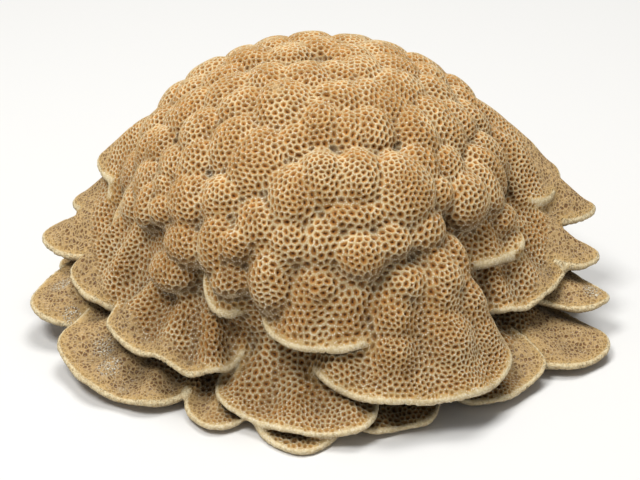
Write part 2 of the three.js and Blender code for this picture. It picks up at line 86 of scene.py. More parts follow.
LOBES = tuple(Lobe(*row) for row in (
    # Front
    (-8, 38, 5.8, 7, 6.5, 0), (1, 43, 5.2, 6.4, 7, 0), (13, 42, 5.6, 7, 7, 0),
    (27, 37, 7.6, 8.5, 7, 0), (12, 33, 9, 4, 6, 0), (-8, 26, 4.8, 5.8, 5.5, 0),
    (1, 26, 5.2, 6.2, 5.5, 0), (11, 22, 5.4, 6, 7, 0), (-13, 14, 4.9, 7.5, 6.2, -10),
    (-25, 14, 5.4, 4.6, 4.4, 0), (-30, 22, 4.6, 7.4, 5.5, 0), (-24, 23, 3.8, 4.4, 6, 0),
    (-19, 30, 5, 5.8, 5.2, 0), (0, 15, 5, 4.6, 4.6, 0), (10, 14, 4.4, 4.2, 4.4, 0),
    (23, 13, 6.4, 5, 5.6, 0), (20, 9, 3.4, 3.4, 6, 0), (33, 12, 4.4, 7.4, 6, 0),
    (31, 26, 5.6, 5.4, 5.4, 0), (39, 13, 3.8, 7, 5, 0), (38, 43, 4.8, 5.6, 4.8, 0),
    (40, 34, 3.8, 4.4, 4.8, 0), (20, 25, 5, 4.8, 6.4, 0),
    # Left flank
    (-33, 34, 5.8, 5.6, 5, 0), (-44, 31, 5.6, 6.4, 5.2, 0), (-41, 19, 5.9, 4.8, 5, 0),
    (-45, 9, 5.6, 4.8, 5, 0), (-25, 46, 6.2, 8.6, 5.2, 0), (-40, 51, 5.2, 7.6, 4.8, 0),
    (-50, 41, 4.6, 7, 4.4, 0), (-59, 49, 5.2, 6.2, 4.6, 0), (-59, 38, 5, 5, 4.2, 0),
    (-58, 31, 4.4, 3.6, 3.8, 0), (-62, 23, 4.2, 5.6, 4.5, 0), (-53, 25, 4, 3.8, 5, 0),
    (-80, 50, 5.6, 8, 4.4, 0), (-76, 38, 5, 6, 4, 0), (-84, 33, 5, 6, 4, 0),
    (-71, 28, 5, 6, 3.8, 0), (-90, 22, 5, 6, 4, 0), (-76, 17, 5, 5, 3.5, 0),
    # Right flank
    (52, 29, 6.6, 6.4, 4.8, 0), (51, 40, 4.8, 4.8, 3.8, 0), (64, 51, 5.6, 7.8, 4.6, 0),
    (76, 48, 4.6, 6.4, 4.4, 0), (63, 28, 4.4, 7.6, 4.4, -20), (70, 31, 4.2, 8, 4.4, -20),
    (79, 33, 4.2, 8, 4.4, -20), (67, 16, 4, 4, 4, 0), (46, 53, 5.4, 7, 4.8, 0),
    (42, 62, 4.8, 5.6, 4.6, 0), (66, 66, 6.4, 6.4, 4.6, 0), (87, 56, 5, 6, 4.4, 0),
    (90, 42, 4.4, 7, 4.2, 0), (95, 29, 4.8, 6.6, 4.2, 0),
    # Crown
    (-71, 63, 5, 6.4, 4.5, 0), (-50, 61, 5.2, 6.2, 4.5, 0), (-62, 73, 5.4, 5.4, 4.3, 0),
    (-25, 66, 6.6, 7, 5, 0), (1, 60, 5, 7, 5, 0), (-11, 55, 4, 5, 4, 0),
    (13, 57, 4.8, 5.6, 5, 0), (26, 57, 5, 5.6, 5, 0), (16, 69, 7, 5.6, 4.8, 0),
    (36, 67, 5, 6, 4.6, 0), (-14, 79, 7, 5, 4.4, 0), (30, 80, 6, 5, 4.2, 0),
    (64, 78, 5.4, 5, 4.4, 0), (95, 68, 5.4, 6, 4.4, 0), (120, 81, 6, 5, 4.2, 0),
    (175, 80, 6.5, 5, 4.4, 0), (-120, 80, 6, 5, 4.3, 0), (126, 68, 6, 6.2, 4.8, 0),
    (156, 69, 5.8, 6, 4.6, 0), (-172, 67, 6.4, 6.4, 5, 0), (-142, 68, 5.8, 6, 4.5, 0),
    (-112, 67, 6.2, 6.4, 4.8, 0), (-92, 62, 4.6, 5.6, 4.4, 0),
    # Back
    (104, 57, 6, 5.4, 4.6, 10), (122, 53, 5.2, 7.2, 5, 0), (141, 58, 7, 5.6, 4.8, -12),
    (163, 52, 6.4, 7.4, 5.4, 0), (-174, 56, 5, 5.6, 4.6, 15), (-157, 53, 7, 7, 5.2, 0),
    (-134, 57, 5.2, 6, 4.6, -10), (-118, 51, 6.4, 7.2, 5, 0), (-99, 51, 4.8, 6, 4.5, 0),
    (101, 44, 4.6, 6, 4.4, 0), (114, 42, 6.2, 6, 5, 12), (131, 43, 5, 7.2, 5.4, 0),
    (148, 39, 7, 6.6, 5.8, 0), (168, 38, 5, 5.6, 4.8, -14), (-179, 42, 6.6, 7, 5.6, 0),
    (-160, 39, 5, 6, 4.8, 10), (-146, 42, 6.6, 7.4, 5.6, 0), (-128, 39, 5, 6, 4.8, 0),
    (-113, 39, 6, 6.6, 5, -12), (-96, 36, 5, 6.4, 4.4, 0), (106, 29, 5.6, 6.8, 5, 0),
    (120, 25, 5, 5.4, 4.6, 10), (134, 29, 6.6, 7.4, 5.8, 0), (151, 25, 5, 5.6, 5, 0),
    (163, 27, 5.4, 6, 5.2, -12), (179, 26, 6.8, 7.2, 6, 0), (-164, 25, 4.8, 5.4, 4.8, 0),
    (-150, 28, 6.2, 7, 5.6, 8), (-133, 25, 5, 5.6, 4.6, 0), (-119, 26, 6, 6.8, 5, 0),
    (-102, 22, 4.8, 5.6, 4.2, 0), (111, 13, 5.4, 5.6, 4.6, 0), (127, 14, 6, 6.4, 5.4, 10),
    (143, 12, 4.8, 5.4, 4.8, 0), (157, 13, 6.4, 6.6, 6, 0), (174, 12, 5, 5.6, 5, 0),
    (-169, 14, 6.2, 6.6, 5.6, 0), (-152, 12, 5, 5.6, 4.8, 0), (-137, 13, 6, 6.2, 5.2, -10),
    (-121, 11, 4.8, 5.4, 4.4, 0), (-107, 12, 5.6, 6.2, 4.6, 0),
))

# Azimuth and height of the root, count and height of the folds, then azimuth, reach and
# height of each rim point
LEDGES = tuple(Ledge(*row) for row in (
    # Front
    ((1, 45), 3, 2.0, ((-18, 43, 30), (-17, 50, 25), (-12, 53, 23), (-6, 56, 22.5),
        (1, 56, 22.5), (8, 56, 22.5), (14, 54, 23), (17, 51, 26), (17, 44, 30))),
    ((-27, 46), 2, 1.2, ((-37, 44, 33), (-36, 48.5, 29.5), (-33, 49.5, 26),
        (-28.5, 49.5, 24.5), (-24.5, 48, 24.5), (-22, 45.5, 26.5), (-20, 42, 30))),
    ((27, 43), 5, 3.0, ((-8, 44, 18), (-3, 50, 15), (1, 55, 13), (7, 60, 12), (15, 64, 11.5),
        (24, 66, 11), (32, 68, 11), (39, 68, 11), (45, 65, 12), (50, 60, 14), (52, 50, 18))),
    ((-5, 24), 4, 2.4, ((-26, 45, 12), (-29, 55, 8), (-24, 59, 6), (-17, 61, 5), (-10, 63, 5),
        (-3, 65, 5), (4, 65, 5), (10, 64, 5.5), (14, 60, 8), (14, 52, 11))),
    ((-4, 10), 2, 0.4, ((-18, 56, 4), (-13, 63, 2), (-7, 67, 1.7), (-1, 67, 1.7), (4, 63, 2),
        (7, 55, 5))),
    ((20, 11), 3, 1, ((4, 53, 5), (8, 60.5, 3), (14, 62.5, 2.6), (21, 62.5, 2.6), (28, 61.5, 3),
        (33, 54, 5))),
    ((-27, 12), 2, 1, ((-36, 54, 6), (-32, 62, 3), (-27, 64, 2.6), (-22, 64, 2.6),
        (-18, 61, 3), (-15, 54, 5))),
    # Left
    ((-41, 34), 4, 4, ((-66, 50, 20), (-63, 59, 16.5), (-58, 62.5, 14), (-50, 62, 13),
        (-42.5, 60, 13), (-36.5, 59.5, 12.5), (-30.5, 59, 12), (-26, 56, 12), (-23, 51, 12.5),
        (-22, 44, 15))),
    ((-53, 18), 4, 2.4, ((-73, 57, 12), (-69.5, 67, 10.5), (-64.5, 73, 7.5), (-57, 73, 6),
        (-51, 71.5, 5), (-45.5, 70, 4), (-40, 66.5, 3.5), (-35, 61.5, 4), (-32, 54, 6))),
    ((-70, 40), 3, 3, ((-85, 53, 26), (-81.5, 61, 22), (-77.5, 66, 18), (-71.5, 64, 16),
        (-67, 60.5, 15), (-62.5, 57.5, 14.5), (-60, 50, 17))),
    ((-79, 31), 2, 2.4, ((-93, 56, 17), (-87, 70, 13), (-81, 76.5, 11), (-75, 75, 9),
        (-70, 69, 8), (-66, 60, 9), (-64, 51, 12))),
    ((-78, 50), 2, 1.6, ((-87, 50, 33), (-82, 54, 30), (-78, 54, 28), (-74, 52, 27),
        (-70, 48, 28), (-67, 44, 30))),
    ((-95, 38), 2, 1.8, ((-108, 54, 23), (-101, 66, 21), (-96, 72, 20), (-91, 73, 19),
        (-86, 69, 18), (-82, 60, 19), (-80, 52, 22))),
    ((-103, 42), 2, 1.8, ((-117, 52, 29), (-112, 63, 26), (-105, 65, 25), (-98, 67, 25),
        (-93, 63, 27), (-89, 52, 31))),
    ((-90, 49), 1, 0.8, ((-96, 48, 38), (-95, 54, 35), (-91, 55, 32), (-88, 51, 31),
        (-84, 46, 33))),
    ((-100, 52), 2, 1.4, ((-110, 50, 42), (-105, 57, 40), (-100, 59, 38), (-95, 58, 36),
        (-89, 50, 36))),
    # Right
    ((62, 45), 3, 1.8, ((47, 43, 32), (51, 49, 30), (58, 51, 29), (64, 53, 29), (70, 54, 30),
        (75, 51, 32), (77, 44, 36))),
    ((66, 38), 4, 3.4, ((49, 46, 21), (52, 53, 18), (58, 57, 16.5), (65, 60, 16.5),
        (72, 63, 17.5), (79, 65, 18.5), (86, 62, 22), (86, 54, 28))),
    ((50, 20), 3, 1.8, ((32, 52, 6), (34, 60, 3.5), (40, 65, 3), (47, 67, 4), (53, 68, 5),
        (58, 66, 6), (61, 60, 9), (60, 50, 14))),
    ((67, 19), 3, 1.8, ((54, 52, 8), (55, 60, 5), (59, 69, 3.5), (63, 75, 3.5), (68, 78.5, 4),
        (74, 76, 4), (78, 68, 5), (81, 55, 9))),
    ((77, 30), 2, 1.4, ((68, 56, 15), (71, 67, 12), (75, 74, 11), (79, 76.5, 12), (83, 69, 14),
        (87, 56, 18))),
    ((85, 39), 2, 1.4, ((76, 57, 22), (78, 67, 19.5), (82, 72, 18.5), (86, 72, 19.5),
        (90, 66, 21), (95, 56, 24))),
    ((94, 45), 2, 1.4, ((85, 54, 29), (87, 64, 26.5), (91, 71, 26), (96, 73, 26.5),
        (101, 66, 28), (106, 52, 31))),
    ((91, 51), 2, 1.2, ((82, 50, 35), (86, 59, 33), (91, 61, 34), (96, 58, 36), (101, 48, 39))),
    ((100, 52), 2, 1.4, ((88, 52, 36), (93, 63, 33), (99, 63, 35), (106, 60, 37),
        (112, 49, 40))),
    ((103, 57), 1, 0.8, ((91, 46, 43), (95, 54, 41), (100, 56, 42), (106, 53, 44),
        (112, 44, 47))),
    # Back
    ((125, 45), 4, 3, ((107, 52, 29), (110, 63, 25), (117, 68, 22), (125, 65, 21),
        (132, 66, 20), (139, 61, 23), (143, 51, 28))),
    ((156, 43), 5, 3.2, ((133, 50, 22), (137, 60, 18), (145, 66, 15), (154, 64, 16),
        (162, 67, 15), (171, 64, 17), (177, 51, 22))),
    ((-158, 46), 4, 3, ((-179, 49, 32), (-175, 57, 27), (-168, 60, 24), (-160, 64, 23),
        (-151, 60, 24), (-143, 59, 26), (-139, 49, 31))),
    ((-128, 43), 4, 3.2, ((-148, 50, 23), (-144, 62, 18), (-136, 63, 16), (-127, 68, 15),
        (-118, 64, 17), (-111, 63, 19), (-107, 52, 24))),
    ((92, 20), 2, 1.8, ((77, 55, 9), (80, 66, 6), (87, 70, 4.5), (94, 70, 4.5), (101, 67, 6),
        (105, 56, 9))),
    ((116, 23), 3, 2, ((98, 57, 12), (100, 68, 8), (106, 73, 6), (113, 70, 5),
        (120, 72, 5), (127, 67, 6), (131, 56, 10))),
    ((146, 19), 4, 2, ((124, 54, 9), (128, 65, 5), (137, 70, 4), (146, 66, 3.5),
        (155, 69, 4), (163, 65, 5), (167, 53, 8))),
    ((-177, 20), 4, 2.2, ((161, 51, 11), (164, 62, 7), (172, 67.5, 5), (181, 65, 4.5),
        (191, 67.5, 5), (199, 61, 7), (202, 51, 11))),
    ((-142, 18), 4, 2, ((-163, 52, 8), (-159, 64, 4), (-150, 69, 3.2), (-141, 66, 3),
        (-132, 69, 3.5), (-124, 66, 5), (-120, 54, 9))),
    ((-107, 22), 3, 2, ((-124, 55, 11), (-119, 68, 7), (-111, 73, 5), (-102, 71, 5),
        (-94, 71, 7), (-89, 57, 12))),
))

# Knobs that stand on the ledges: azimuth, height, radius and rise of each
LEDGE_KNOBS = ((23, 34, 7, 2), (19.5, 29, 7, 2.2), (34, 33, 7.5, 2.2), (18, 22, 6.5, 2),
               (32, 23, 8, 1.6), (1, 35, 7.5, 1.8), (11, 32, 6, 1.6), (42, 28, 6, 1.6),
               (5, 17, 6, 1.2), (-27, 33, 6, 1.2), (66, 27, 6, 1.4), (-52, 19, 6, 1.2))

# Azimuth, reach, height and radius of the patches of pale sand
SAND_PATCHES = ((-80, 67, 12, 5), (-72, 66, 9, 4), (-58, 63, 9, 5), (-52, 65, 7, 5),
                (-46, 66, 6, 4), (78, 71, 13, 4))


def as_points(x: np.ndarray, y: np.ndarray, z: np.ndarray) -> np.ndarray:
    """Stacks three arrays of coordinates as rows of points."""
    return np.stack(np.broadcast_arrays(x, y, z), axis=-1)


def unit(rows: np.ndarray) -> np.ndarray:
    """Scales each row to length one."""
    return rows / np.maximum(np.linalg.norm(rows, axis=-1, keepdims=True), SHORTEST)


def move_verts(verts: list, points: np.ndarray) -> None:
    """Puts each vertex of a list at its row of points."""
    for vert, point in zip(verts, points):
        vert.co = point


@dataclass(frozen=True)
class Dome:
    """The knobby dome: an ellipsoid through the lobes' crests, standing on an upright wall."""

    crest_x: float = 55.0
    crest_y: float = 51.0
    crest_z: float = 51.5
    shoulder: float = 22.0
    inset: float = 4.6
    relief_levels: tuple = (20.0, 45.0, 80.0)
    relief: tuple = (1.45, 1.2, 0.9)
    foot_narrowing: float = 0.1
    spread: float = 1.34
    depth_reach: float = 2.0
    flatness: float = 1.2
    crease_sharpness: float = 14.0
    groove_depth: float = 1.6
    groove_width: float = 0.42
    groove_patch: float = 13.0
    groove_mean: float = 0.68
    groove_change: float = 0.9
    groove_least: float = 0.3
    wall_start: float = -0.5
    underside_start: float = -0.86
    subdivisions: int = 8

    def crest(self, azimuth: np.ndarray, elevation: np.ndarray, inset: float) -> np.ndarray:
        """Points of the surface that lies `inset` under the lobes' crests.

        Args:
            azimuth: Angles round the colony, in radians.
            elevation: Angles up the dome, in radians; below zero they run down the wall.
            inset: How far under the crests the surface lies.

        Returns:
            One row of x, y and z for each pair of angles.
        """
        rise = np.sin(elevation)
        below = np.minimum(0.0, rise) * (self.crest_z / self.shoulder)
        wall = 1.0 - self.foot_narrowing * below * below
        across = np.where(elevation < 0.0, wall, np.cos(elevation))
        return as_points(
            (self.crest_x - inset) * across * np.sin(azimuth),
            -(self.crest_y - inset) * across * np.cos(azimuth),
            self.shoulder + (self.crest_z - inset) * rise,
        )

    def outward(self, azimuth: np.ndarray, elevation: np.ndarray) -> np.ndarray:
        """The directions out of the dome at the given angles, one row each."""
        lift = np.maximum(0.0, elevation)
        return unit(as_points(
            np.cos(lift) * np.sin(azimuth) / self.crest_x,
            -np.cos(lift) * np.cos(azimuth) / self.crest_y,
            np.sin(lift) / self.crest_z,
        ))

    def relief_at(self, elevation: np.ndarray) -> np.ndarray:
        """How strongly the lobes stand out, from the foot of the dome up to its crown."""
        return np.interp(np.degrees(elevation), self.relief_levels, self.relief)

    def lobe_height(self, lobe: Lobe, points: np.ndarray) -> np.ndarray:
        """How far one lobe rises at each point of the crest surface."""
        azimuth = math.radians(lobe.azimuth)
        elevation = math.radians(lobe.elevation)
        out = self.outward(np.array(azimuth), np.array(elevation))
        along = np.array([self.crest_x * math.cos(azimuth), self.crest_y * math.sin(azimuth), 0])
        along = unit(along)
        up = np.cross(out, along)
        lean = math.radians(lobe.lean)
        across_way = along * math.cos(lean) - np.cross(out, along) * math.sin(lean)
        upward_way = up * math.cos(lean) - np.cross(out, up) * math.sin(lean)
        offset = points - self.crest(np.array(azimuth), np.array(elevation), 0.0)
        across = offset @ across_way / (lobe.half_width * self.spread)
        upward = offset @ upward_way / (lobe.half_height * self.spread)
        depth = self.depth_reach * max(lobe.half_width, lobe.half_height)
        inward = offset @ out / depth
        out_of_middle = (across**2 + upward**2 + inward**2) ** self.flatness
        relief = self.relief_at(elevation)
        return relief * lobe.rise * np.sqrt(np.clip(1.0 - out_of_middle, 0.0, None))

    def lobed(self, azimuth: np.ndarray, elevation: np.ndarray) -> np.ndarray:
        """Points of the dome with all its lobes, parted by narrow grooves of varied depth."""
        crest = self.crest(azimuth, elevation, 0.0)
        total = np.zeros(azimuth.shape)
        highest = np.zeros(azimuth.shape)
        second = np.zeros(azimuth.shape)
        for lobe in LOBES:
            height = self.lobe_height(lobe, crest)
            total += height ** self.crease_sharpness
            second = np.maximum(second, np.minimum(height, highest))
            highest = np.maximum(highest, height)
        height = total ** (1.0 / self.crease_sharpness)
        relief = self.relief_at(elevation)
        patches = [noise.noise(Vector(point) / self.groove_patch) for point in crest]
        share = self.groove_mean + self.groove_change * np.array(patches)
        depth = self.groove_depth * np.clip(share, self.groove_least, 1.0)
        meeting = np.exp((second - highest) / (self.groove_width * relief))
        meeting *= np.clip(second, 0.0, 1.0)
        height -= depth * meeting
        core = self.crest(azimuth, elevation, self.inset * relief)
        return core + self.outward(azimuth, elevation) * height[:, None]

    def build(self, bm: bmesh.types.BMesh) -> None:
        """Adds the closed dome to a bmesh: a unit icosphere, spread over dome, wall and cut."""
        verts = bmesh.ops.create_icosphere(bm, subdivisions=self.subdivisions, radius=1.0)["verts"]
        ball = unit(np.array([vert.co[:] for vert in verts]))
        azimuth = np.arctan2(ball[:, 0], -ball[:, 1])
        level = ball[:, 2]
        lowest = -math.asin(self.shoulder / (self.crest_z - self.inset * self.relief[0]))
        down = (self.wall_start - level) / (self.wall_start - self.underside_start)
        up = np.arcsin(np.clip((level - self.wall_start) / (1.0 - self.wall_start), 0.0, 1.0))
        elevation = np.where(level < self.wall_start, lowest * np.minimum(down, 1.0), up)
        points = self.lobed(azimuth, elevation)
        under = level < self.underside_start
        inwards = (level[under] + 1.0) / (self.underside_start + 1.0)
        points[under, :2] *= inwards[:, None]
        move_verts(verts, points)


@dataclass(frozen=True)
class Plates:
    """How the ledges are shaped: thin at the rim, thick and steep where they leave the dome."""

    dome: Dome
    rim_thickness: float = 1.5
    rim_softness: float = 0.8
    root_thickening: float = 4.5
    root_depth: float = 6.5
    root_spread: float = 2.0
    highest_root: float = 0.98
    root_levels: tuple = (30.0, 48.0)
    steepness: tuple = (1.7, 1.3)
    bulge: tuple = (0.0, 2.2)
    steepest: float = 2.2
    fold_peak: float = 1.6
    fold_reach: float = 0.87
    fold_middle: float = 0.45
    scallop_depth: float = 0.9
    scallop_middle: float = 0.6
    scallop_onset: int = 3
    steps_across: int = 72
    steps_outward: int = 28

    def polar(self, rows: np.ndarray) -> np.ndarray:
        """Turns rows of azimuth, reach and height into points."""
        angle = np.radians(rows[..., 0])
        return as_points(rows[..., 1] * np.sin(angle), -rows[..., 1] * np.cos(angle), rows[..., 2])

    def rim_points(self, ledge: Ledge, share: np.ndarray) -> np.ndarray:
        """Points of a ledge's upper rim.

        The rim runs between the curve through its own points and the softer curve that only
        bends towards them, nearer the softer one.

        Args:
            ledge: The ledge.
            share: Places along the rim, from 0 at one end to 1 at the other.

        Returns:
            One point for each place.
        """
        knots = self.polar(np.array(ledge.rim, dtype=float))
        before = 2.0 * knots[:1] - knots[1:2]
        after = 2.0 * knots[-1:] - knots[-2:-1]
        knots = np.concatenate([before, knots, after])
        spans = len(ledge.rim) - 1
        place = np.clip(share, 0.0, 1.0) * spans
        span = np.minimum(place.astype(int), spans - 1)
        t = (place - span)[..., None]
        s = 1.0 - t
        through = (-t * s**2, 2.0 * s**2 * (1.0 + 2.0 * t) + t**2 * s,
                   2.0 * t**2 * (1.0 + 2.0 * s) + t * s**2, -t**2 * s)
        soft = (s**3, 3.0 * t**3 - 6.0 * t**2 + 4.0, 3.0 * s**3 - 6.0 * s**2 + 4.0, t**3)
        point = 0.0
        for k, (tight, loose) in enumerate(zip(through, soft)):
            weight = tight / 2.0 + (loose / 6.0 - tight / 2.0) * self.rim_softness
            point = point + weight * knots[span + k]
        return point

    def root_points(self, ledge: Ledge, share: np.ndarray) -> np.ndarray:
        """Points of a ledge's root line inside the dome, an arc narrower than its rim."""
        azimuth, height = ledge.root
        dome = self.dome
        lift = np.clip((height - dome.shoulder) / (dome.crest_z - dome.inset), 0.0,
                       self.highest_root)
        shrink = math.sqrt(1.0 - lift * lift)
        first = math.remainder(ledge.rim[0][0] - azimuth, 360.0) / self.root_spread
        last = math.remainder(ledge.rim[-1][0] - azimuth, 360.0) / self.root_spread
        angle = np.radians(azimuth + first + (last - first) * share)
        depth = dome.inset + self.root_depth
        return as_points(
            (dome.crest_x - depth) * shrink * np.sin(angle),
            -(dome.crest_y - depth) * shrink * np.cos(angle),
            np.full(share.shape, float(height)),
        )

    def fold_profile(self, ledge: Ledge, share: np.ndarray) -> np.ndarray:
        """How high the folds stand at each place along the ledge, 0 in a groove and up to 1."""
        if ledge.folds < 2:
            return np.ones(share.shape)
        phase = 0.0 if ledge.folds % 2 == 0 else math.pi / 2.0
        return np.cos(math.pi * ledge.folds * (share - 0.5) + phase) ** 2

    def surface(self, ledge: Ledge, share: np.ndarray, outward: np.ndarray,
                below: np.ndarray) -> np.ndarray:
        """Points of a ledge's two faces.

        Args:
            ledge: The ledge.
            share: Places along the rim, from 0 to 1.
            outward: Places from the root, 0, to the rim, 1.
            below: True for points of the lower face.

        Returns:
            One point for each place.
        """
        start = self.root_points(ledge, share)
        end = self.rim_points(ledge, share)
        fold = self.fold_profile(ledge, share)
        points = start + (end - start) * outward[:, None]
        away = end - start
        drop = -away[:, 2]
        away[:, 2] = 0.0
        length = np.linalg.norm(away, axis=1)
        scallop = self.scallop_depth * (fold - self.scallop_middle) * outward**self.scallop_onset
        points += unit(away) * scallop[:, None]
        steepness = np.interp(ledge.root[1], self.root_levels, self.steepness)
        bulge = np.interp(ledge.root[1], self.root_levels, self.bulge)
        left = 1.0 - outward
        profile = left**steepness * (1.0 + bulge * outward)
        fall = steepness * left ** (steepness - 1.0) * (1.0 + bulge * outward)
        slope = np.minimum((fall - bulge * left**steepness) * drop / length, self.steepest)
        swell = np.sin(math.pi * self.fold_reach * outward**self.fold_peak)
        thickness = (self.rim_thickness + self.root_thickening * left) * np.hypot(1.0, slope)
        points[:, 2] = end[:, 2] + drop * profile
        points[:, 2] += ledge.fold * (fold - self.fold_middle) * swell
        points[:, 2] -= np.where(below, thickness, 0.0)
        return points

    def build(self, bm: bmesh.types.BMesh, ledge: Ledge) -> None:
        """Adds one ledge to a bmesh: a grid, extruded to a slab and bent to its form."""
        grid = bmesh.ops.create_grid(
            bm, x_segments=self.steps_across, y_segments=self.steps_outward, size=0.5)
        verts = grid["verts"]
        faces = list({face for vert in verts for face in vert.link_faces})
        slab = bmesh.ops.extrude_face_region(bm, geom=faces)
        lower = [item for item in slab["geom"] if isinstance(item, bmesh.types.BMVert)]
        bmesh.ops.translate(bm, verts=lower, vec=(0.0, 0.0, -1.0))
        every = verts + lower
        flat = np.array([vert.co[:] for vert in every])
        points = self.surface(ledge, 0.5 - flat[:, 0], flat[:, 1] + 0.5, flat[:, 2] < -0.5)
        move_verts(every, points)


class Face(Enum):
    """What a cell of the surface is."""

    CUP = 0
    PLAIN = 1
    CUT = 2
    SEAM = 3


@dataclass
class FineSurface:
    """The fused colony as a fine mesh of quads, with the measures that place the cups."""

    mesh: bpy.types.Mesh
    voxel: float = 0.5
    smoothing_rounds: int = 3
    crease_rounds: int = 60
    ripple: float = 0.5
    ripple_length: float = 8.0
    knob_aim: float = 1.5

    def __post_init__(self) -> None:
        """Reads the mesh into arrays, smooths it and measures its faces."""
        self.read_mesh()
        sealed = np.flatnonzero(~self.outer_shell())
        if len(sealed):
            self.drop(sealed)
            self.read_mesh()
        self.points = self.smoothed(self.points, self.smoothing_rounds)
        self.points += self.normals() * (self.rippled() + self.knobbed())[:, None]
        self.points[:, 2] = np.maximum(self.points[:, 2], 0.0)
        self.centres = self.points[self.quads].mean(axis=1)
        first = self.points[self.quads[:, 2]] - self.points[self.quads[:, 0]]
        second = self.points[self.quads[:, 3]] - self.points[self.quads[:, 1]]
        cross = np.cross(first, second)
        self.areas = 0.5 * np.linalg.norm(cross, axis=1)
        self.outward = unit(cross)

    def read_mesh(self) -> None:
        """Reads the points, faces and edges of the mesh, and which faces are neighbours."""
        mesh = self.mesh
        self.points = self.read(mesh.vertices, "co", 3)
        self.quads = self.read(mesh.polygons, "vertices", 4, int)
        self.edges = self.read(mesh.edges, "vertices", 2, int)
        self.face_edges = self.read(mesh.loops, "edge_index", 1, int).ravel()
        self.neighbours = self.face_neighbours()

    def outer_shell(self) -> np.ndarray:
        """Which faces are joined to the highest one, and so don't line a sealed hollow."""
        height = self.points[self.quads[:, 0], 2]
        reached = np.zeros(len(height), dtype=bool)
        front = np.array([height.argmax()])
        while len(front):
            reached[front] = True
            near = self.neighbours[front].ravel()
            front = np.unique(near[~reached[near]])
        return reached

    def drop(self, faces: np.ndarray) -> None:
        """Takes some faces out of the mesh."""
        bm = bmesh.new()
        bm.from_mesh(self.mesh)
        bm.faces.ensure_lookup_table()
        bmesh.ops.delete(bm, geom=[bm.faces[k] for k in faces], context="FACES")
        bm.to_mesh(self.mesh)
        bm.free()
        LOG.info("sealed hollows: %d fine faces taken out", len(faces))

    @staticmethod
    def read(items: bpy.types.bpy_prop_collection, name: str, width: int,
             kind: type = float) -> np.ndarray:
        """Reads one property of every item of a mesh as rows of `width` numbers."""
        values = np.empty(len(items) * width, dtype=kind)
        items.foreach_get(name, values)
        return values.reshape(-1, width)

    def smoothed(self, points: np.ndarray, rounds: int) -> np.ndarray:
        """Moves every point half way to the mean of its neighbours, several times over."""
        count = len(points)
        here = self.edges.ravel()
        there = self.edges[:, ::-1].ravel()
        degree = np.bincount(here, minlength=count)[:, None]
        for _ in range(rounds):
            sums = [np.bincount(here, weights=points[there, k], minlength=count) for k in range(3)]
            points = 0.5 * points + 0.5 * np.stack(sums, axis=1) / degree
        return points

    def normals(self) -> np.ndarray:
        """The outward direction at every point, from the faces around it."""
        first = self.points[self.quads[:, 2]] - self.points[self.quads[:, 0]]
        second = self.points[self.quads[:, 3]] - self.points[self.quads[:, 1]]
        cross = np.repeat(np.cross(first, second), 4, axis=0)
        at = self.quads.ravel()
        count = len(self.points)
        sums = [np.bincount(at, weights=cross[:, k], minlength=count) for k in range(3)]
        return unit(np.stack(sums, axis=1))

    def rippled(self) -> np.ndarray:
        """How far the surface swells or sinks at every point, so that no form is too even."""
        scale = 1.0 / self.ripple_length
        values = [noise.noise(Vector(point) * scale) for point in self.points]
        return self.ripple * np.array(values)

    def knobbed(self) -> np.ndarray:
        """How far every point is raised by the knobs that stand on the ledges."""
        azimuth = np.degrees(np.arctan2(self.points[:, 0], -self.points[:, 1]))
        reach = np.hypot(self.points[:, 0], self.points[:, 1])
        raised = np.zeros(len(self.points))
        for angle, height, radius, rise in LEDGE_KNOBS:
            beside = np.hypot((azimuth - angle) / self.knob_aim, self.points[:, 2] - height)
            outermost = np.where(beside < 1.0, reach, 0.0).argmax()
            away = np.linalg.norm(self.points - self.points[outermost], axis=1) / radius
            raised = np.maximum(raised, rise * np.clip(1.0 - away**2, 0.0, None) ** 2)
        return raised

    def creases(self) -> np.ndarray:
        """How far each face lies out of (above 0) or in (below 0) the smoothed-out form."""
        moved = self.points - self.smoothed(self.points, self.crease_rounds)
        return np.einsum("ij,ij->i", moved[self.quads].mean(axis=1), self.outward)

    def face_neighbours(self) -> np.ndarray:
        """The four faces that share an edge with each face."""
        order = np.argsort(self.face_edges, kind="stable").reshape(-1, 2)
        self.pairs = order
        across = np.empty(len(self.face_edges), dtype=int)
        across[order[:, 0]] = order[:, 1] // 4
        across[order[:, 1]] = order[:, 0] // 4
        return across.reshape(-1, 4)


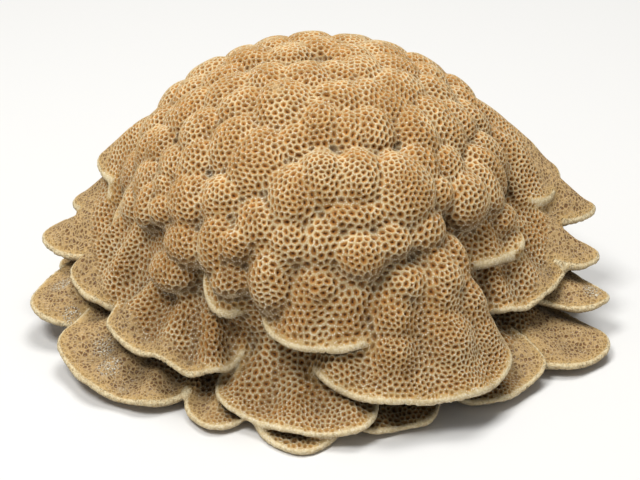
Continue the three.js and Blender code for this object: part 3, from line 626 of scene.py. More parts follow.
@dataclass(frozen=True)
class CupSizes:
    """The distance between neighbouring cups on each part of the colony, in millimetres."""

    boss: float = 1.95
    flank: float = 1.4
    crown: float = 1.55
    ledge: float = 1.0
    front_ledge: float = 1.45
    rim: float = 0.75
    underside: float = 2.5
    boss_azimuth: float = 12.0
    boss_width: float = 42.0
    front_share: tuple = (0.3, 0.6)
    ledge_start: float = 1.03
    ledge_ramp: float = 12.0
    highest_ledge: float = 0.95
    crown_start: float = 1.1
    crown_ramp: float = 2.2
    rim_band: float = 0.85
    rim_fade: float = 1.5
    under_start: float = 0.15
    under_ramp: float = 6.0
    plain_rim: float = 1.0
    plain_share: float = 0.55

    def frontal(self, surface: FineSurface) -> np.ndarray:
        """How far each fine face is part of the front, where the cups are largest."""
        azimuth = np.degrees(np.arctan2(surface.centres[:, 0], -surface.centres[:, 1]))
        return np.exp(-((azimuth - self.boss_azimuth) / self.boss_width) ** 2)

    def on_ledge(self, surface: FineSurface, dome: Dome) -> np.ndarray:
        """How far each fine face is part of a ledge, beyond the crests of the dome."""
        reach = np.hypot(surface.centres[:, 0] / dome.crest_x, surface.centres[:, 1] / dome.crest_y)
        lift = np.clip((surface.centres[:, 2] - dome.shoulder) / dome.crest_z, 0.0,
                       self.highest_ledge)
        beyond = reach / np.sqrt(1.0 - lift**2) - self.ledge_start
        return np.clip(beyond * self.ledge_ramp, 0.0, 1.0)

    def fine(self, surface: FineSurface, dome: Dome) -> np.ndarray:
        """How far each fine face has pits too small for cups of their own in the mesh."""
        front = np.interp(self.frontal(surface), self.front_share, (0.0, 1.0))
        return self.on_ledge(surface, dome) * (1.0 - front)

    def pitch(self, surface: FineSurface, dome: Dome, rim_distance: np.ndarray) -> np.ndarray:
        """The distance between cups wanted at each face of the fine surface."""
        frontal = self.frontal(surface)
        lift = np.clip((surface.centres[:, 2] - dome.shoulder) / dome.crest_z, 0.0, 1.0)
        flank = self.flank + (self.boss - self.flank) * frontal
        crown = np.clip(lift * self.crown_ramp - self.crown_start, 0.0, 1.0)
        pitch = flank + (self.crown - flank) * crown
        ledge = self.ledge + (self.front_ledge - self.ledge) * frontal
        pitch += (ledge - pitch) * self.on_ledge(surface, dome)
        near_rim = np.clip(self.rim_fade - rim_distance / self.rim_band, 0.0, 1.0)
        pitch += (self.rim - pitch) * near_rim
        downward = -(surface.outward[:, 2] + self.under_start)
        under = np.clip(downward * self.under_ramp, 0.0, 1.0) * (1.0 - near_rim)
        return pitch + (self.underside - pitch) * under


@dataclass
class CupLayout:
    """Shares the fine surface out among the cups, one cell of faces to each."""

    surface: FineSurface
    pitch: np.ndarray
    sort_cell: float = 1.5
    sort_bits: int = 8
    relax_rounds: int = 20
    sweeps: int = 2

    def curve_order(self) -> np.ndarray:
        """The faces in the order of a curve that fills space, so that neighbours stay close."""
        centres = self.surface.centres
        places = ((centres - centres.min(axis=0)) / self.sort_cell).astype(np.int64)
        code = np.zeros(len(places), dtype=np.int64)
        for bit in range(self.sort_bits):
            for axis in range(3):
                code |= ((places[:, axis] >> bit) & 1) << (3 * bit + axis)
        return np.argsort(code, kind="stable")

    def first_cups(self) -> np.ndarray:
        """Faces to start the cups from, evenly spread by the area that each cup takes."""
        cup_area = HEXAGON * self.pitch**2
        order = self.curve_order()
        share = np.cumsum((self.surface.areas / cup_area)[order])
        picks = np.searchsorted(share, np.arange(0.5, share[-1]))
        return np.unique(order[picks])

    def sweep(self, rounds: int) -> None:
        """Lets every face join the nearest cup among its own and its neighbours'."""
        centres = self.surface.centres
        rows = np.arange(len(centres))
        for _ in range(rounds):
            near = self.labels[self.surface.neighbours]
            options = np.concatenate([self.labels[:, None], near], axis=1)
            offsets = centres[:, None, :] - self.cups[options]
            distance = np.linalg.norm(offsets, axis=2) / self.cup_pitch[options]
            distance[options < 0] = np.inf
            self.labels = options[rows, distance.argmin(axis=1)]

    def cell_sums(self, values: np.ndarray) -> np.ndarray:
        """The sum of a measure of the fine faces over each cell."""
        return np.bincount(self.labels, weights=values, minlength=len(self.cups))

    def recentre(self) -> None:
        """Moves each cup to the middle of its cell, and gives it the size wanted there."""
        areas = self.surface.areas
        size = self.cell_sums(areas)
        held = size > 0.0
        middle = np.stack([self.cell_sums(areas * self.surface.centres[:, k]) for k in range(3)],
                          axis=1)
        self.cups[held] = middle[held] / size[held, None]
        self.cup_pitch[held] = self.cell_sums(areas * self.pitch)[held] / size[held]

    def build(self) -> None:
        """Places the cups, spreads their cells over the surface and evens them out."""
        start = self.first_cups()
        self.cups = self.surface.centres[start].copy()
        self.cup_pitch = self.pitch[start]
        self.labels = np.full(len(self.surface.centres), -1)
        self.labels[start] = np.arange(len(start))
        while self.labels.min() < 0:
            self.sweep(self.sweeps)
        for _ in range(self.relax_rounds):
            self.recentre()
            self.sweep(self.sweeps)


@dataclass(frozen=True)
class CupShape:
    """The section of a cup, as shares of its width: a rounded wall, a slope and a floor."""

    wall: float = 0.11
    wall_fall: float = 0.03
    slope: float = 0.2
    depth: float = 0.27
    floor: float = 0.09
    wall_level: float = 0.15
    slope_level: float = 0.7
    fine_depth: float = 0.5
    fine_steps: float = 4.0
    size_step: float = 0.12
    least_size: float = 0.6
    compactness: float = 0.7


@dataclass
class Colony:
    """The whole coral: it fuses the forms, lays out the cups and makes the shown pieces."""

    dome: Dome
    plates: Plates
    sizes: CupSizes
    shape: CupShape
    slices: int = len(SLICE_NAMES)
    crease_scale: float = 1.6
    cut_height: float = 0.35
    underside_tilt: float = -0.55
    seam_depth: float = 0.6
    rim_samples: int = 90
    rim_shares: tuple = (0.05, 0.95)
    rim_reach: float = 0.9
    rim_edge: float = 0.25
    rays: int = 12
    ray_start: float = 0.9
    ray_length: float = 22.0
    ray_aside: tuple = (0.31, 0.17, 0.93)
    under_start: float = 0.1
    under_ramp: float = 2.5

    def fuse(self) -> FineSurface:
        """Joins dome and ledges into one closed body of fine quads."""
        bm = bmesh.new()
        self.dome.build(bm)
        for ledge in LEDGES:
            self.plates.build(bm, ledge)
        bmesh.ops.recalc_face_normals(bm, faces=bm.faces[:])
        rough = bpy.data.meshes.new("rough_forms")
        bm.to_mesh(rough)
        bm.free()
        blank = bpy.data.objects.new("rough_forms", rough)
        bpy.context.collection.objects.link(blank)
        remesh = blank.modifiers.new("Fuse", "REMESH")
        remesh.mode = "VOXEL"
        remesh.voxel_size = FineSurface.voxel
        depsgraph = bpy.context.evaluated_depsgraph_get()
        fused = bpy.data.meshes.new_from_object(blank.evaluated_get(depsgraph))
        bpy.data.objects.remove(blank)
        bpy.data.meshes.remove(rough)
        return FineSurface(fused)

    def shown_rims(self, surface: FineSurface) -> KDTree:
        """The points of all the rims that stand free, to find the nearest of them."""
        shares = np.linspace(*self.rim_shares, self.rim_samples)
        ends = np.ones(len(shares))
        rows = []
        for ledge in LEDGES:
            top = self.plates.surface(ledge, shares, ends, np.zeros(len(shares), dtype=bool))
            low = self.plates.surface(ledge, shares, ends, np.ones(len(shares), dtype=bool))
            rows += [top, (top + low) / 2.0, low]
        crease = surface.creases()
        found = [self.tree.find_nearest(point) for point in np.concatenate(rows)]
        shown = [place for place, _, face, distance in found
                 if distance < self.rim_reach and crease[face] > self.rim_edge]
        rims = KDTree(len(shown))
        for place, point in enumerate(shown):
            rims.insert(point, place)
        rims.balance()
        return rims

    def shelter(self, layout: CupLayout, outward: np.ndarray) -> np.ndarray:
        """How much of the sky over each cup is hidden by the rest of the colony.

        Args:
            layout: The cups.
            outward: The outward direction of each cup's cell.

        Returns:
            One share for each cup, from 0 in the open to 1 where nothing of the sky is left.
        """
        turns = np.arange(self.rays) * GOLDEN_ANGLE
        radius = np.sqrt((np.arange(self.rays) + 0.5) / self.rays)
        height = np.sqrt(1.0 - radius**2)
        aside = unit(np.cross(outward, self.ray_aside))
        across = np.cross(outward, aside)
        hidden = np.zeros(len(outward))
        starts = layout.cups + outward * self.ray_start
        for turn, reach, up in zip(turns, radius, height):
            ways = (aside * math.cos(turn) + across * math.sin(turn)) * reach + outward * up
            hits = [self.tree.ray_cast(start, way, self.ray_length)[0] is not None
                    for start, way in zip(starts.tolist(), ways.tolist())]
            hidden += hits
        return hidden / self.rays

    def cells(self, surface: FineSurface, layout: CupLayout) -> bmesh.types.BMesh:
        """Dissolves the fine faces of each cup into one polygon, and evens the corners out."""
        bm = bmesh.new()
        bm.from_mesh(surface.mesh)
        cup = bm.faces.layers.int.new("cup")
        for vert, point in zip(bm.verts, surface.points):
            vert.co = point
        for face, label in zip(bm.faces, layout.labels):
            face[cup] = int(label)
        first, second = surface.pairs[:, 0], surface.pairs[:, 1]
        same = layout.labels[first // 4] == layout.labels[second // 4]
        bm.edges.ensure_lookup_table()
        inner = [bm.edges[k] for k in surface.face_edges[first[same]]]
        bmesh.ops.dissolve_edges(bm, edges=inner, use_verts=False, use_face_split=False)
        spare = [vert for vert in bm.verts if len(vert.link_edges) == 2]
        bmesh.ops.dissolve_verts(bm, verts=spare)
        return bm

    def even_corners(self, bm: bmesh.types.BMesh, layout: CupLayout) -> None:
        """Puts each corner amid the cups that meet there, and notes how near a rim it lies."""
        cup = bm.faces.layers.int["cup"]
        near_rim = bm.verts.layers.float.new("near_rim")
        for vert in bm.verts:
            around = {face[cup] for face in vert.link_faces}
            middle = Vector(layout.cups[list(around)].mean(axis=0))
            vert.co = self.tree.find_nearest(middle)[0]
            vert[near_rim] = self.rims.find(vert.co)[2]

    def mark(self, bm: bmesh.types.BMesh, surface: FineSurface, layout: CupLayout,
             rims: np.ndarray) -> None:
        """Gives every cell its kind, its tint and how far it is rim or crease."""
        cup = bm.faces.layers.int["cup"]
        kind = bm.faces.layers.int.new("kind")
        values = {name: bm.faces.layers.float.new(name) for name in CELL_VALUES}
        count = len(layout.cups)
        size = np.maximum(np.bincount(layout.labels, minlength=count), 1)

        def cell_mean(faces: np.ndarray) -> np.ndarray:
            """The mean of a measure of the fine faces over each cell."""
            return np.bincount(layout.labels, weights=faces, minlength=count) / size

        rim = cell_mean(rims)
        crease = np.clip(cell_mean(surface.creases()) / self.crease_scale, -1.0, 1.0)
        outward = unit(np.stack([cell_mean(surface.outward[:, k]) for k in range(3)], axis=1))
        upward = outward[:, 2]
        fine = cell_mean(self.sizes.fine(surface, self.dome))
        shelter = self.shelter(layout, outward)
        tint = np.random.default_rng(SEED).uniform(0.0, 1.0, count)
        for face in bm.faces:
            label = face[cup]
            low = max(vert.co.z for vert in face.verts) < self.cut_height
            plain = (upward[label] < self.underside_tilt or fine[label] > self.sizes.plain_share
                     or rim[label] < self.sizes.plain_rim)
            face[kind] = (Face.CUT if low else Face.PLAIN if plain else Face.CUP).value
            face[values["fine"]] = float(fine[label])
            face[values["shelter"]] = float(shelter[label])
            face[values["rim"]] = float(rim[label])
            face[values["crease"]] = float(crease[label])
            face[values["tint"]] = float(tint[label])
            under = (self.under_start - upward[label]) * self.under_ramp
            face[values["under"]] = float(np.clip(under, 0.0, 1.0))

    def slice_faces(self, bm: bmesh.types.BMesh) -> None:
        """Shares the cells out from left to right, so that each slice is about as heavy."""
        part = bm.faces.layers.int.new("slice")
        kind = bm.faces.layers.int["kind"]
        faces = sorted(bm.faces, key=lambda face: face.calc_center_median().x)
        weights = [CUP_WEIGHT if face[kind] == Face.CUP.value else 1.0 for face in faces]
        share = np.cumsum(weights) / sum(weights)
        for face, place in zip(faces, share):
            face[part] = min(int(place * self.slices), self.slices - 1)
        for vert in bm.verts:
            ring = [face[part] for face in vert.link_faces]
            if len(ring) == 4 and len(set(ring)) == 2 and ring.count(ring[0]) == 2:
                for face in vert.link_faces:
                    face[part] = ring[0]

    def cut_slice(self, bm: bmesh.types.BMesh, place: int) -> bmesh.types.BMesh:
        """Copies one slice out of the colony and closes it where it meets its neighbours."""
        piece = bm.copy()
        piece.normal_update()
        inward = {vert.co[:]: -vert.normal for vert in piece.verts}
        part = piece.faces.layers.int["slice"]
        kind = piece.faces.layers.int["kind"]
        others = [face for face in piece.faces if face[part] != place]
        bmesh.ops.delete(piece, geom=others, context="FACES")
        border = [edge for edge in piece.edges if len(edge.link_faces) == 1]
        lips = bmesh.ops.extrude_edge_only(piece, edges=border)["geom"]
        for vert in lips:
            if isinstance(vert, bmesh.types.BMVert):
                vert.co += inward[vert.co[:]] * self.seam_depth
        inner = [edge for edge in piece.edges if len(edge.link_faces) == 1]
        caps = bmesh.ops.holes_fill(piece, edges=inner, sides=0)["faces"]
        seams = caps + [face for face in lips if isinstance(face, bmesh.types.BMFace)]
        for face in seams:
            face[kind] = Face.SEAM.value
        for edge in border:
            edge.smooth = False
        open_edges = sum(len(edge.link_faces) != 2 for edge in piece.edges)
        LOG.info("slice %d: %d cells, %d seams, %d open edges", place, len(piece.faces),
                 len(seams), open_edges)
        return piece

    def carve(self, bm: bmesh.types.BMesh) -> None:
        """Sinks a cup into every open cell and writes the values that the finish reads."""
        kind = bm.faces.layers.int["kind"]
        sources = {name: bm.faces.layers.float[name] for name in CELL_VALUES}
        targets = {name: bm.verts.layers.float.new(name) for name in CELL_VALUES}
        depth = bm.verts.layers.float.new("depth")

        def write(faces: list, level: float) -> None:
            """Writes a cup's values on the ring of vertices that its face has now."""
            for face in faces:
                for vert in face.verts:
                    vert[depth] = level
                    for name, source in sources.items():
                        vert[targets[name]] = face[source]

        near_rim = bm.verts.layers.float["near_rim"]
        for vert in bm.verts:
            around = [face for face in vert.link_faces if face[kind] != Face.SEAM.value]
            for name, source in sources.items():
                vert[targets[name]] = sum(face[source] for face in around) / max(len(around), 1)
            vert[targets["rim"]] = vert[near_rim]
        shape = self.shape
        fine = sources["fine"]
        groups: dict[tuple[int, int, bool], list] = {}
        for face in bm.faces:
            area = face.calc_area()
            size = math.sqrt(area / HEXAGON)
            if face[kind] == Face.CUP.value and size > shape.least_size:
                compact = 4.0 * math.pi * area / face.calc_perimeter() ** 2 > shape.compactness
                fineness = round(face[fine] * shape.fine_steps)
                key = (round(size / shape.size_step), fineness, compact)
                groups.setdefault(key, []).append(face)
        for (step, fineness, compact), faces in sorted(groups.items()):
            size = step * shape.size_step
            sink = 1.0 - (1.0 - shape.fine_depth) * fineness / shape.fine_steps
            bmesh.ops.inset_individual(bm, faces=faces, thickness=shape.wall * size,
                                       depth=-shape.wall_fall * size * sink,
                                       use_even_offset=compact)
            write(faces, shape.wall_level)
            bmesh.ops.inset_individual(bm, faces=faces, thickness=shape.slope * size,
                                       depth=-shape.depth * size * sink, use_even_offset=compact)
            write(faces, shape.slope_level)
            poked = bmesh.ops.poke(bm, faces=faces, offset=-shape.floor * size * sink,
                                   center_mode="MEAN_WEIGHTED")
            for vert in poked["verts"]:
                ring = [edge.other_vert(vert) for edge in vert.link_edges]
                vert[depth] = 1.0
                for target in targets.values():
                    vert[target] = ring[0][target]

    def build(self, finishes: list[bpy.types.Material]) -> list[bpy.types.Object]:
        """Makes the shown pieces of the colony.

        Args:
            finishes: The materials of the living surface and of the cut.

        Returns:
            The pieces, from left to right.
        """
        surface = self.fuse()
        LOG.info("fused: %d fine faces", len(surface.quads))
        self.tree = BVHTree.FromPolygons(surface.points.tolist(), surface.quads.tolist())
        self.rims = self.shown_rims(surface)
        rims = np.array([self.rims.find(point)[2] for point in surface.centres])
        pitch = self.sizes.pitch(surface, self.dome, rims)
        layout = CupLayout(surface, pitch)
        layout.build()
        LOG.info("cups laid out: %d cells", len(layout.cups))
        whole = self.cells(surface, layout)
        self.even_corners(whole, layout)
        self.mark(whole, surface, layout, rims)
        self.slice_faces(whole)
        pieces = []
        for place, name in enumerate(SLICE_NAMES):
            bm = self.cut_slice(whole, place)
            self.carve(bm)
            pieces.append(self.finish_piece(bm, name, finishes))
        whole.free()
        bpy.data.meshes.remove(surface.mesh)
        return pieces

    def finish_piece(self, bm: bmesh.types.BMesh, name: str,
                     finishes: list[bpy.types.Material]) -> bpy.types.Object:
        """Turns one slice into a shown piece in metres, with its finish and its place."""
        kind = bm.faces.layers.int["kind"]
        for face in bm.faces:
            face.smooth = face[kind] != Face.SEAM.value
            face.material_index = int(face[kind] == Face.CUT.value)
        bmesh.ops.scale(bm, vec=(MM, MM, MM), verts=bm.verts[:])
        mesh = bpy.data.meshes.new(name)
        bm.to_mesh(mesh)
        bm.free()
        for finish in finishes:
            mesh.materials.append(finish)
        piece = bpy.data.objects.new(name, mesh)
        bpy.context.collection.objects.link(piece)
        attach(piece, "root")
        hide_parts("coral_colony")
        triangles = sum(len(face.vertices) - 2 for face in mesh.polygons)
        LOG.info("%s: %d triangles", name, triangles)
        return piece


class NodeSheet:
    """A node tree, with short ways to add and join its nodes."""

    def __init__(self, tree: bpy.types.NodeTree) -> None:
        """Starts an empty tree."""
        self.nodes = tree.nodes
        self.links = tree.links
        self.nodes.clear()

    @classmethod
    def of_material(cls, name: str) -> tuple[bpy.types.Material, "NodeSheet"]:
        """Makes a material and the sheet of its nodes."""
        material = bpy.data.materials.new(name)
        material.use_nodes = True
        return material, cls(material.node_tree)

    def add(self, kind: str, inputs: dict | None = None, **settings: object) -> bpy.types.Node:
        """Adds a node.

        Args:
            kind: The node's type.
            inputs: Values or sockets for its inputs, by name or number.
            **settings: Properties of the node.

        Returns:
            The node.
        """
        node = self.nodes.new(kind)
        for name, value in settings.items():
            setattr(node, name, value)
        for name, value in (inputs or {}).items():
            self.feed(node.inputs[name], value)
        return node

    def feed(self, socket: bpy.types.NodeSocket, value: object) -> None:
        """Links a socket to another one, or sets its value."""
        if isinstance(value, bpy.types.NodeSocket):
            self.links.new(value, socket)
        else:
            socket.default_value = value

    def value(self, name: str) -> bpy.types.NodeSocket:
        """The value that a piece's mesh carries under a name."""
        return self.add("ShaderNodeAttribute", attribute_name=name).outputs["Fac"]

    def place(self) -> bpy.types.NodeSocket:
        """Where a point is on the object, in metres."""
        return self.add("ShaderNodeTexCoord").outputs["Object"]

    def math(self, operation: str, first: object, second: object = 0.0) -> bpy.types.NodeSocket:
        """One sum of two values."""
        return self.add("ShaderNodeMath", {0: first, 1: second},
                        operation=operation).outputs[0]

    def ramp(self, value: object, low: float, high: float, start: float = 0.0,
             end: float = 1.0) -> bpy.types.NodeSocket:
        """A value carried smoothly from one range to another."""
        inputs = {"Value": value, "From Min": low, "From Max": high, "To Min": start,
                  "To Max": end}
        node = self.add("ShaderNodeMapRange", inputs, interpolation_type="SMOOTHSTEP")
        return node.outputs["Result"]

    def mix(self, share: object, first: object, second: object,
            blend: str = "MIX") -> bpy.types.NodeSocket:
        """Two colours mixed by a share from 0 to 1."""
        node = self.add("ShaderNodeMix", data_type="RGBA", blend_type=blend)
        for name, value in (("Factor_Float", share), ("A_Color", first), ("B_Color", second)):
            self.feed(next(item for item in node.inputs if item.identifier == name), value)
        return next(item for item in node.outputs if item.identifier == "Result_Color")

    def shade(self, colour_in: object, strength: object) -> bpy.types.NodeSocket:
        """A colour made lighter or darker by a factor that changes over the surface."""
        grey = self.add("ShaderNodeCombineColor", {0: strength, 1: strength, 2: strength})
        return self.mix(1.0, colour_in, grey.outputs[0], "MULTIPLY")

    def noise(self, size: float, detail: float = 2.0,
              roughness: float = 0.5) -> bpy.types.NodeSocket:
        """Soft noise whose patches are about `size` millimetres across."""
        inputs = {"Vector": self.place(), "Scale": 1.0 / (size * MM), "Detail": detail,
                  "Roughness": roughness}
        return self.add("ShaderNodeTexNoise", inputs).outputs["Fac"]

    def finish(self, material_colour: object, roughness: float, normal: object) -> None:
        """Ends a material with its shader."""
        shader = self.add("ShaderNodeBsdfPrincipled", {
            "Base Color": material_colour, "Roughness": roughness, "Normal": normal,
            "Specular IOR Level": SPECULAR})
        self.add("ShaderNodeOutputMaterial", {"Surface": shader.outputs[0]})


def colour(red: int, green: int, blue: int) -> tuple[float, float, float, float]:
    """A colour from the 0 to 255 values of a screen, as the shader's own values."""
    def linear(value: int) -> float:
        """One channel without the screen's curve."""
        share = value / 255.0
        return share / 12.92 if share <= 0.04045 else ((share + 0.055) / 1.055) ** 2.4
    return (linear(red), linear(green), linear(blue), 1.0)


@dataclass(frozen=True)
class SkeletonGrain:
    """The spiny grain of the skeleton, as a group that every coral material uses."""

    spine: float = 0.2
    spine_detail: float = 3.0
    spine_roughness: float = 0.65
    sparkle: float = 0.27
    sparkle_range: tuple = (0.57, 0.68)

    def build(self) -> bpy.types.NodeTree:
        """Makes the group, which puts out a height and the mask of the painted glints on the points
        of the spines.
        """
        group = bpy.data.node_groups.new("skeleton_grain", "ShaderNodeTree")
        group.interface.new_socket("Height", in_out="OUTPUT", socket_type="NodeSocketFloat")
        group.interface.new_socket("Glints", in_out="OUTPUT", socket_type="NodeSocketFloat")
        sheet = NodeSheet(group)
        height = sheet.noise(self.spine, self.spine_detail, self.spine_roughness)
        # Painted highlight: bright glint spots on the points of the spines
        glint_spots = sheet.ramp(sheet.noise(self.sparkle, 1.0), *self.sparkle_range)
        sheet.add("NodeGroupOutput", {"Height": height, "Glints": glint_spots})
        return group


@dataclass(frozen=True)
class CoralSkin:
    """The coral's surface: pale walls, ochre cups with painted shade on their floors, cream rims,
    painted shade in creases, on undersides, at the foot and in hidden recesses, and painted glints.
    """

    wall: tuple = colour(222, 197, 148)
    wall_tan: tuple = colour(194, 160, 106)
    cup: tuple = colour(186, 129, 60)
    # Painted shade: the dark brown of the deepest part of each cup
    cup_floor_shade: tuple = colour(74, 40, 14)
    ledge: tuple = colour(214, 178, 122)
    ledge_pit: tuple = colour(118, 72, 30)
    rim: tuple = colour(244, 226, 182)
    rim_glow: tuple = colour(224, 186, 116)
    # Painted shade: the grey-brown laid into the creases between the lobes and folds
    crease: tuple = colour(98, 90, 72)
    # Painted shade: the dark brown laid on cells that face down, under overhangs and ledges
    underside: tuple = colour(112, 92, 64)
    # Painted highlight: the near-white of the glints on the spines
    glint: tuple = colour(255, 248, 232)
    sand: tuple = colour(228, 220, 198)
    roughness: float = 0.8
    patch_size: float = 8.0
    mottle_size: float = 2.2
    pit_size: float = 1.0
    pit_disorder: float = 0.8
    pit_stretch: tuple = (1.0, 1.0, 0.8)
    pit_patch_size: float = 1.6
    pit_drop: float = 0.22
    wear_size: float = 0.7
    sand_grain: float = 0.45
    grain_height: float = 0.07
    grain_strength: float = 0.8
    pit_strength: float = 0.9
    # Strength of the painted shade in the creases, then on the undersides
    crease_shade_strength: float = 0.8
    underside_shade_strength: float = 0.7
    # Ranges: from and to, then the results at both ends where these aren't 0 and 1
    unevenness: tuple = (0.3, 0.7, -0.09, 0.09)
    wall_patches: tuple = (0.35, 0.65)
    wall_to_cup: tuple = (0.1, 0.45)
    # Painted shade: from where in a cup's depth the floor shade starts to where it is full
    cup_to_floor_shade: tuple = (0.6, 0.98)
    cup_tints: tuple = (0.0, 1.0, 0.9, 1.1)
    lobe_to_ledge: tuple = (0.2, 0.7)
    pit_walls: tuple = (0.05, 0.3)
    pit_patches: tuple = (0.35, 0.6, 0.5, 1.0)
    mottling: tuple = (0.3, 0.7, 0.9, 1.08)
    # Painted shade: where in a crease it starts and where it is full
    into_crease_shade: tuple = (-0.02, -0.55)
    # Painted shade: colour darker towards the foot and full at the crown, by height in metres
    shade_foot_to_crown: tuple = (0.012, 0.055, 0.8, 1.0)
    rim_glow_reach: tuple = (3.2, 0.6, 0.0, 0.4)
    rim_line: tuple = (0.9, 0.4)
    rim_wear: tuple = (0.36, 0.6, 0.4, 0.95)
    # Painted highlight: how the glints fade into the cups and on the ledges
    glints_in_cups: tuple = (0.5, 0.0, 0.1, 0.8)
    glints_on_ledges: tuple = (0.0, 1.0, 1.0, 0.35)
    # Painted shade: cells that see less of the sky are darkened
    open_to_hidden_shade: tuple = (0.1, 0.8, 1.0, 0.4)
    sand_grains: tuple = (0.52, 0.6)
    sand_cover: tuple = (0.1, 0.6, 0.0, 0.9)

    def pits(self, sheet: NodeSheet) -> bpy.types.NodeSocket:
        """The fine pits of the ledges: 1 in the middle of a pit and 0 between the pits."""
        stretched = sheet.add("ShaderNodeVectorMath", {0: sheet.place(), 1: self.pit_stretch},
                              operation="MULTIPLY").outputs[0]
        inputs = {"Vector": stretched, "Scale": 1.0 / (self.pit_size * MM),
                  "Randomness": self.pit_disorder}
        walls = sheet.add("ShaderNodeTexVoronoi", inputs, feature="DISTANCE_TO_EDGE")
        share = sheet.ramp(sheet.noise(self.pit_patch_size), *self.pit_patches)
        return sheet.math("MULTIPLY", sheet.ramp(walls.outputs["Distance"], *self.pit_walls),
                          share)

    def sandy(self, sheet: NodeSheet) -> bpy.types.NodeSocket:
        """Where pale sand grains lie: thick in the middle of each patch, sparse at its edge."""
        total = 0.0
        for azimuth, reach, height, radius in SAND_PATCHES:
            angle = math.radians(azimuth)
            centre = (reach * math.sin(angle) * MM, -reach * math.cos(angle) * MM, height * MM)
            distance = sheet.add("ShaderNodeVectorMath", {0: sheet.place(), 1: centre},
                                 operation="DISTANCE").outputs["Value"]
            total = sheet.math("ADD", total, sheet.ramp(distance, radius * MM, 0.0))
        grains = sheet.ramp(sheet.noise(self.sand_grain, 1.0), *self.sand_grains)
        return sheet.math("MULTIPLY", grains, sheet.ramp(total, *self.sand_cover))

    def cups(self, sheet: NodeSheet, depth: bpy.types.NodeSocket) -> bpy.types.NodeSocket:
        """The colour of the cups, from the pale tops of their walls to floors darkened by painted
        shade.
        """
        patches = sheet.ramp(sheet.noise(self.patch_size, 3.0), *self.wall_patches)
        wall = sheet.mix(patches, self.wall, self.wall_tan)
        # Painted shade darkens the bottom of each cup
        cup = sheet.mix(sheet.ramp(depth, *self.cup_to_floor_shade), self.cup, self.cup_floor_shade)
        skin = sheet.mix(sheet.ramp(depth, *self.wall_to_cup), wall, cup)
        return sheet.shade(skin, sheet.ramp(sheet.value("tint"), *self.cup_tints))

    def aged(self, sheet: NodeSheet, skin: bpy.types.NodeSocket) -> bpy.types.NodeSocket:
        """A colour with mottling, painted shade in the creases, on the undersides and towards the
        foot, and pale rims.
        """
        skin = sheet.shade(skin, sheet.ramp(sheet.noise(self.mottle_size), *self.mottling))
        # Painted shade: darkens the cells that lie in a crease of the form
        crease_shade = sheet.math("MULTIPLY", sheet.ramp(sheet.value("crease"), *self.into_crease_shade),
                          self.crease_shade_strength)
        skin = sheet.mix(crease_shade, skin, self.crease)
        # Painted shade: darker towards the foot of the colony
        height = sheet.add("ShaderNodeSeparateXYZ", {0: sheet.place()}).outputs["Z"]
        skin = sheet.shade(skin, sheet.ramp(height, *self.shade_foot_to_crown))
        away = sheet.value("rim")
        skin = sheet.mix(sheet.ramp(away, *self.rim_glow_reach), skin, self.rim_glow)
        worn = sheet.ramp(sheet.noise(self.wear_size), *self.rim_wear)
        line = sheet.math("MULTIPLY", sheet.ramp(away, *self.rim_line), worn)
        skin = sheet.mix(line, skin, self.rim)
        # Painted shade on the cells that face down
        under = sheet.math("MULTIPLY", sheet.value("under"), self.underside_shade_strength)
        return sheet.mix(under, skin, self.underside)

    def build(self, grain: bpy.types.NodeTree) -> bpy.types.Material:
        """Makes the material around the shared grain."""
        material, sheet = NodeSheet.of_material("coral_skin")
        fine = sheet.add("ShaderNodeGroup", node_tree=grain)
        depth = sheet.value("depth")
        rough_depth = sheet.math("ADD", depth, sheet.ramp(fine.outputs["Height"],
                                                          *self.unevenness))
        skin = self.cups(sheet, rough_depth)
        pitted = sheet.ramp(sheet.value("fine"), *self.lobe_to_ledge)
        pits = sheet.math("MULTIPLY", self.pits(sheet), pitted)
        skin = sheet.mix(pitted, skin, self.ledge)
        skin = sheet.mix(sheet.math("MULTIPLY", pits, self.pit_strength), skin, self.ledge_pit)
        skin = self.aged(sheet, skin)
        # Painted highlight: near-white glints on the walls' spines, fewer in cups and on ledges
        painted_glints = sheet.math("MULTIPLY", fine.outputs["Glints"], sheet.ramp(depth, *self.glints_in_cups))
        painted_glints = sheet.math("MULTIPLY", painted_glints, sheet.ramp(pitted, *self.glints_on_ledges))
        skin = sheet.mix(painted_glints, skin, self.glint)
        # Painted shade: darker where the rest of the colony hides the sky
        skin = sheet.shade(skin, sheet.ramp(sheet.value("shelter"), *self.open_to_hidden_shade))
        sand = self.sandy(sheet)
        skin = sheet.mix(sand, skin, self.sand)
        grainy = sheet.add("ShaderNodeBump", {
            "Height": fine.outputs["Height"], "Strength": self.grain_strength,
            "Distance": self.grain_height * MM})
        pitty = sheet.add("ShaderNodeBump", {
            "Height": sheet.math("SUBTRACT", sand, pits), "Strength": 1.0,
            "Distance": self.pit_drop * MM, "Normal": grainy.outputs[0]})
        sheet.finish(skin, self.roughness, pitty.outputs[0])
        return material


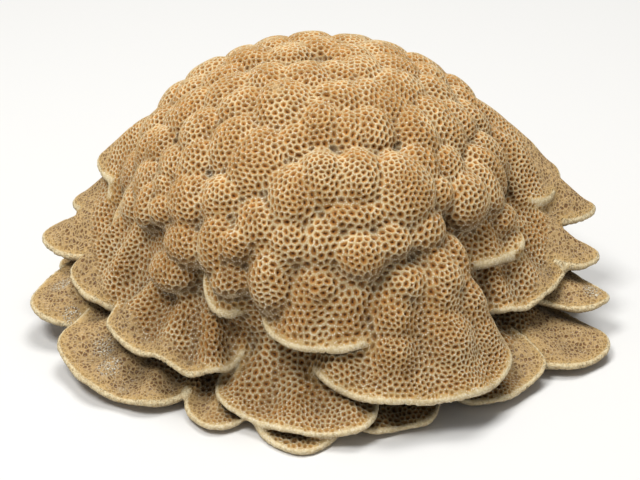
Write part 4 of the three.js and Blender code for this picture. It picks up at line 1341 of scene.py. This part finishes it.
@dataclass(frozen=True)
class CutFace:
    """The flat cut below: pale bare skeleton with fine open pores."""

    bare: tuple = colour(226, 208, 176)
    pore: tuple = colour(150, 124, 88)
    pore_size: float = 1.3
    pore_depth: float = 0.2
    pore_strength: float = 0.5
    pore_edge: tuple = (0.42, 0.2)
    grain_shades: tuple = (0.3, 0.7, 0.88, 1.06)
    roughness: float = 0.9

    def build(self, grain: bpy.types.NodeTree) -> bpy.types.Material:
        """Makes the material around the shared grain."""
        material, sheet = NodeSheet.of_material("cut_skeleton")
        fine = sheet.add("ShaderNodeGroup", node_tree=grain)
        inputs = {"Vector": sheet.place(), "Scale": 1.0 / (self.pore_size * MM)}
        cells = sheet.add("ShaderNodeTexVoronoi", inputs).outputs["Distance"]
        skin = sheet.mix(sheet.ramp(cells, *self.pore_edge), self.bare, self.pore)
        skin = sheet.shade(skin, sheet.ramp(fine.outputs["Height"], *self.grain_shades))
        bump = sheet.add("ShaderNodeBump", {"Height": cells, "Strength": self.pore_strength,
                                            "Distance": self.pore_depth * MM})
        sheet.finish(skin, self.roughness, bump.outputs[0])
        return material


@dataclass(frozen=True)
class Lamp:
    """One soft square lamp: its name, place and size in metres, and its power in watts."""

    name: str
    place: tuple[float, float, float]
    size: float
    power: float


@dataclass(frozen=True)
class Studio:
    """The pale floor, the soft lights and the camera at the photo's angle."""

    lamps: tuple[Lamp, ...] = (
        Lamp("key", (-0.3, -0.3, 0.9), 0.3, 5.2),
        Lamp("top", (0.1, 0.15, 1.0), 0.4, 5.0),
    )
    lamp_aim: tuple[float, float, float] = (0.0, 0.0, 0.03)
    elevation: float = 30.0
    distance: float = 0.42
    target_height: float = 0.0193
    lens: float = 90.56
    sensor: float = 36.0
    floor_size: float = 4.0
    floor_colour: tuple = colour(244, 243, 240)
    sky_strength: float = 0.22

    def floor(self) -> None:
        """Lays the floor that the colony stands on."""
        bm = bmesh.new()
        bmesh.ops.create_grid(bm, x_segments=1, y_segments=1, size=self.floor_size / 2.0)
        mesh = bpy.data.meshes.new("floor")
        bm.to_mesh(mesh)
        bm.free()
        material, sheet = NodeSheet.of_material("floor_paper")
        shader = sheet.add("ShaderNodeBsdfPrincipled", {
            "Base Color": self.floor_colour, "Roughness": 0.9})
        sheet.add("ShaderNodeOutputMaterial", {"Surface": shader.outputs[0]})
        mesh.materials.append(material)
        floor = bpy.data.objects.new("floor", mesh)
        bpy.context.collection.objects.link(floor)

    def hang(self, lamp: Lamp) -> None:
        """Hangs one lamp so that it faces the colony."""
        light = bpy.data.lights.new(lamp.name, "AREA")
        light.size = lamp.size
        light.energy = lamp.power
        hung = bpy.data.objects.new(lamp.name, light)
        bpy.context.collection.objects.link(hung)
        hung.location = lamp.place
        aim = Vector(self.lamp_aim) - Vector(lamp.place)
        hung.rotation_euler = aim.to_track_quat("-Z", "Y").to_euler()

    def sky(self) -> None:
        """Sets an even pale sky."""
        world = bpy.data.worlds.new("sky")
        world.use_nodes = True
        background = world.node_tree.nodes["Background"]
        background.inputs["Color"].default_value = (1.0, 1.0, 1.0, 1.0)
        background.inputs["Strength"].default_value = self.sky_strength
        bpy.context.scene.world = world
        bpy.context.scene.view_settings.view_transform = "Standard"

    def camera(self) -> None:
        """Sets the camera at the photo's viewing angle."""
        data = bpy.data.cameras.new("camera")
        data.lens = self.lens
        data.sensor_width = self.sensor
        camera = bpy.data.objects.new("camera", data)
        bpy.context.collection.objects.link(camera)
        tilt = math.radians(self.elevation)
        camera.location = (0.0, -self.distance * math.cos(tilt),
                           self.target_height + self.distance * math.sin(tilt))
        camera.rotation_euler = (math.pi / 2.0 - tilt, 0.0, 0.0)
        bpy.context.scene.camera = camera

    def build(self) -> None:
        """Sets up floor, lights and camera."""
        self.floor()
        self.sky()
        for lamp in self.lamps:
            self.hang(lamp)
        self.camera()


def main() -> None:
    """Builds the stage and the coral, and reports each piece."""
    logging.basicConfig(level=logging.INFO, format="%(name)s: %(message)s")
    Studio().build()
    dome = Dome()
    colony = Colony(dome, Plates(dome), CupSizes(), CupShape())
    grain = SkeletonGrain().build()
    colony.build([CoralSkin().build(grain), CutFace().build(grain)])


if __name__ == "__main__":
    main()
